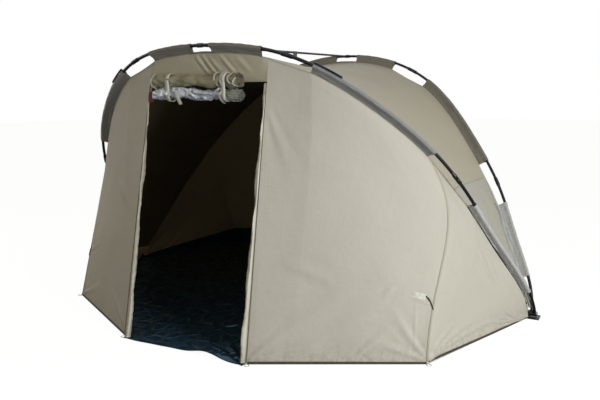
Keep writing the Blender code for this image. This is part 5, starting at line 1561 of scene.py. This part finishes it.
def guy_tab(side, word):
    """The webbing tab beside the side seam, with its short loop of guy cord."""
    wall = front_panel(side)
    wide = np.linalg.norm(wall(1.0, TAB_UP) - wall(0.0, TAB_UP))
    tall = np.linalg.norm(wall(1.0, 1.0) - wall(1.0, 0.0))

    def tab(u, w):
        span = TAB_WIDTH * (0.86 + 0.14 * np.sin(np.clip(u, 0, 1) * math.pi))
        place = wall(1 - (TAB_FROM_SEAM + TAB_LENGTH * u) / wide, TAB_UP + (w - 0.5) * span / tall)
        raised = 0.0030 + 0.0035 * np.sin(math.pi * u)
        raised = raised + 0.0012 * drift(u * 0.1, w * 0.05, 0.02, 141)
        return place - inward(place) * raised[..., None]

    panel(f"guy_tab_{word}", tab, 30, 16, webbing, body="front_frame", slot="pale_webbing",
          rests_on=[f"front_panel_{word}_cloth"])
    share = np.linspace(0, 1, 18)
    drop = CORD_DROP * (1 - share) ** 1.7 - CORD_UP
    path = wall(1 - CORD_REACH * share / wide, TAB_UP - drop / tall)
    path = path - inward(path) * (0.0035 + 0.003 * np.sin(share * math.pi))[:, None]
    cord = tube(f"guy_cord_{word}", path, CORD_RADIUS, cord_finish, 10, body="front_frame",
                slot="black_plastic")
    trims.setdefault(f"guy_tab_{word}_cloth", []).append(cord)


for side, word in SIDES:
    tension_strap(side, word)
    shoulder_rod(side, word)
    peg_ring("door", DOOR_CORNER, side, word)
    peg_ring("side", SIDE_CORNER, side, word)
    guy_tab(side, word)

CLIP_REACH, TAB_ON_BAR = 0.0155, 0.45
HANGER_DROP, HANGER_HOLD, HANGER_WIDTH = 0.040, 0.0082, 0.05
rear_pivot, front_pivot = REAR.point(math.pi / 2), FRONT.point(math.pi / 2)
bar_run = (front_pivot - rear_pivot) / np.linalg.norm(front_pivot - rear_pivot)
rear_pivot = rear_pivot + bar_run * (POLE_RADIUS + CLIP_REACH)
front_pivot = front_pivot - bar_run * (POLE_RADIUS + CLIP_REACH)
bar_up = np.cross(bar_run, (1.0, 0, 0))
bar_up = bar_up if bar_up[2] > 0 else -bar_up
bar_middle = rear_pivot + (front_pivot - rear_pivot) * TAB_ON_BAR


def hanger(u, w):
    """A strap of web over the ridge bar, sewn to itself below it."""
    u, w = shares_of(u, w)
    run = HANGER_DROP * 2 + HANGER_HOLD * math.pi
    s = w * run
    legs = np.where(s < HANGER_DROP, s - HANGER_DROP,
                    np.where(s > run - HANGER_DROP, run - HANGER_DROP - s, 0))
    turn = np.clip((s - HANGER_DROP) / HANGER_HOLD, 0, math.pi)
    closing = np.where(legs < 0, np.clip(1 + legs / 0.012, 0.13, 1), 1)
    place = (bar_middle + (u - 0.5)[..., None] * HANGER_WIDTH * bar_run
             + (legs + HANGER_HOLD * np.sin(turn))[..., None] * bar_up)
    place[..., 0] += (0.001 * drift(u * HANGER_WIDTH, w * run, 0.02, 151)
                      - HANGER_HOLD * np.cos(turn) * closing)
    return place


cloth("ridge_tab_web", hanger, 14, 60, sleeve_hem, None, "ridge_bar", replaces=["ridge_tab"],
      slot="sleeve_web", held="folded", rests_on=["ridge_bar"])

KEPT_SOLIDS = (
    (black_plastic, ("hub_left", "hub_right", "ridge_pin", "ridge_clip_front",
                     "ridge_clip_rear")),
    (steel, ("hub_pin_left", "hub_pin_right", "zip_slider_left", "zip_slider_right")),
    (pole_finish, ("ridge_bar",)))

for finish, nodes in KEPT_SOLIDS:
    for node in nodes:
        for slot in bpy.data.objects[node].material_slots:
            slot.material = finish


# Camera, light and floor

CAMERA_PLACE = (2.0328, -3.855, 1.3039)
CAMERA_YAW, CAMERA_PITCH, CAMERA_ROLL = 0.4932, -0.1597, -0.0025
SENSOR_WIDTH, PICTURE_WIDTH, FOCAL_PIXELS = 36, 600, 626.59
WORLD_LIGHT, WORLD_TINT, WHITE = 0.21, (1.0, 0.94, 0.76, 1), (1, 1, 1, 1)
FLOOR_GLOW, FLOOR_BOUNCE, FLOOR_SEEN = 0.95, (0.34, 0.36, 0.41, 1), (0.14, 0.14, 0.14, 1)
FLOOR_SIZE, FLOOR_PLACE = 60, (0, 8, -0.0008)


def aim_camera():
    """Stands the camera where the photograph was taken from."""
    level = math.cos(CAMERA_PITCH)
    ahead = Vector((-math.sin(CAMERA_YAW) * level, math.cos(CAMERA_YAW) * level,
                    math.sin(CAMERA_PITCH)))
    right = Vector((math.cos(CAMERA_YAW), math.sin(CAMERA_YAW), 0))
    up = right.cross(ahead)
    rolled_right = right * math.cos(CAMERA_ROLL) + up * math.sin(CAMERA_ROLL)
    rolled_up = -right * math.sin(CAMERA_ROLL) + up * math.cos(CAMERA_ROLL)
    camera = bpy.data.objects.new("camera", bpy.data.cameras.new("camera"))
    camera.data.sensor_width = SENSOR_WIDTH
    camera.data.lens = FOCAL_PIXELS * SENSOR_WIDTH / PICTURE_WIDTH
    camera.matrix_world = Matrix((rolled_right, rolled_up, -ahead)).transposed().to_4x4()
    camera.matrix_world.translation = CAMERA_PLACE
    bpy.context.scene.collection.objects.link(camera)
    bpy.context.scene.camera = camera


def add_lamp(name, place, target, size, watts, colour):
    """A round soft lamp, turned towards its target."""
    lamp = bpy.data.lights.new(name, "AREA")
    lamp.shape, lamp.size, lamp.energy, lamp.color = "DISK", size, watts, colour
    item = bpy.data.objects.new(name, lamp)
    item.location = place
    item.rotation_euler = (Vector(target) - Vector(place)).to_track_quat("-Z", "Y").to_euler()
    bpy.context.scene.collection.objects.link(item)


def light_world():
    """White to the camera and in reflections, and a dimmer, warmer light on the tent."""
    world = bpy.data.worlds.new("studio")
    bpy.context.scene.world = world
    world.use_nodes = True
    tree = world.node_tree
    tree.nodes.clear()
    ray = add(tree, "ShaderNodeLightPath").outputs
    seen = maths(tree, "MAXIMUM", ray["Is Camera Ray"], maths(
        tree, "MAXIMUM", ray["Is Glossy Ray"], ray["Is Transmission Ray"]))
    strength = maths(tree, "MULTIPLY_ADD", seen, 1 - WORLD_LIGHT, WORLD_LIGHT)
    tint = mixed(tree, seen, WORLD_TINT, WHITE)
    back = add(tree, "ShaderNodeBackground", {"Color": tint, "Strength": strength})
    add(tree, "ShaderNodeOutputWorld", {"Surface": back.outputs[0]})


def lay_floor():
    """A floor that is near white to the camera and keeps the tent's shadow."""
    bpy.ops.mesh.primitive_plane_add(size=FLOOR_SIZE, location=FLOOR_PLACE)
    plane = bpy.context.object
    plane.name = "studio_floor"
    material, tree, shader = finish_of("studio_floor", 0.9, Specular_IOR_Level=0.0,
                                       Emission_Color=WHITE)
    ray = add(tree, "ShaderNodeLightPath").outputs
    seen = maths(tree, "MAXIMUM", ray["Is Camera Ray"], ray["Is Transmission Ray"])
    tree.links.new(mixed(tree, seen, FLOOR_BOUNCE, FLOOR_SEEN), shader.inputs["Base Color"])
    tree.links.new(maths(tree, "MULTIPLY", seen, FLOOR_GLOW), shader.inputs["Emission Strength"])
    plane.data.materials.append(material)


aim_camera()
light_world()
lay_floor()
add_lamp("key_light", (5.4, -2.9, 1.5), (0.4, -0.3, 0.7), 2.0, 250, (0.93, 0.965, 1.0))
add_lamp("left_fill", (-5.0, -2.9, 2.6), (-0.4, -0.5, 0.9), 2.4, 44, (1.0, 0.95, 0.80))
bpy.context.scene.view_settings.view_transform = "Standard"

bpy.context.view_layer.update()
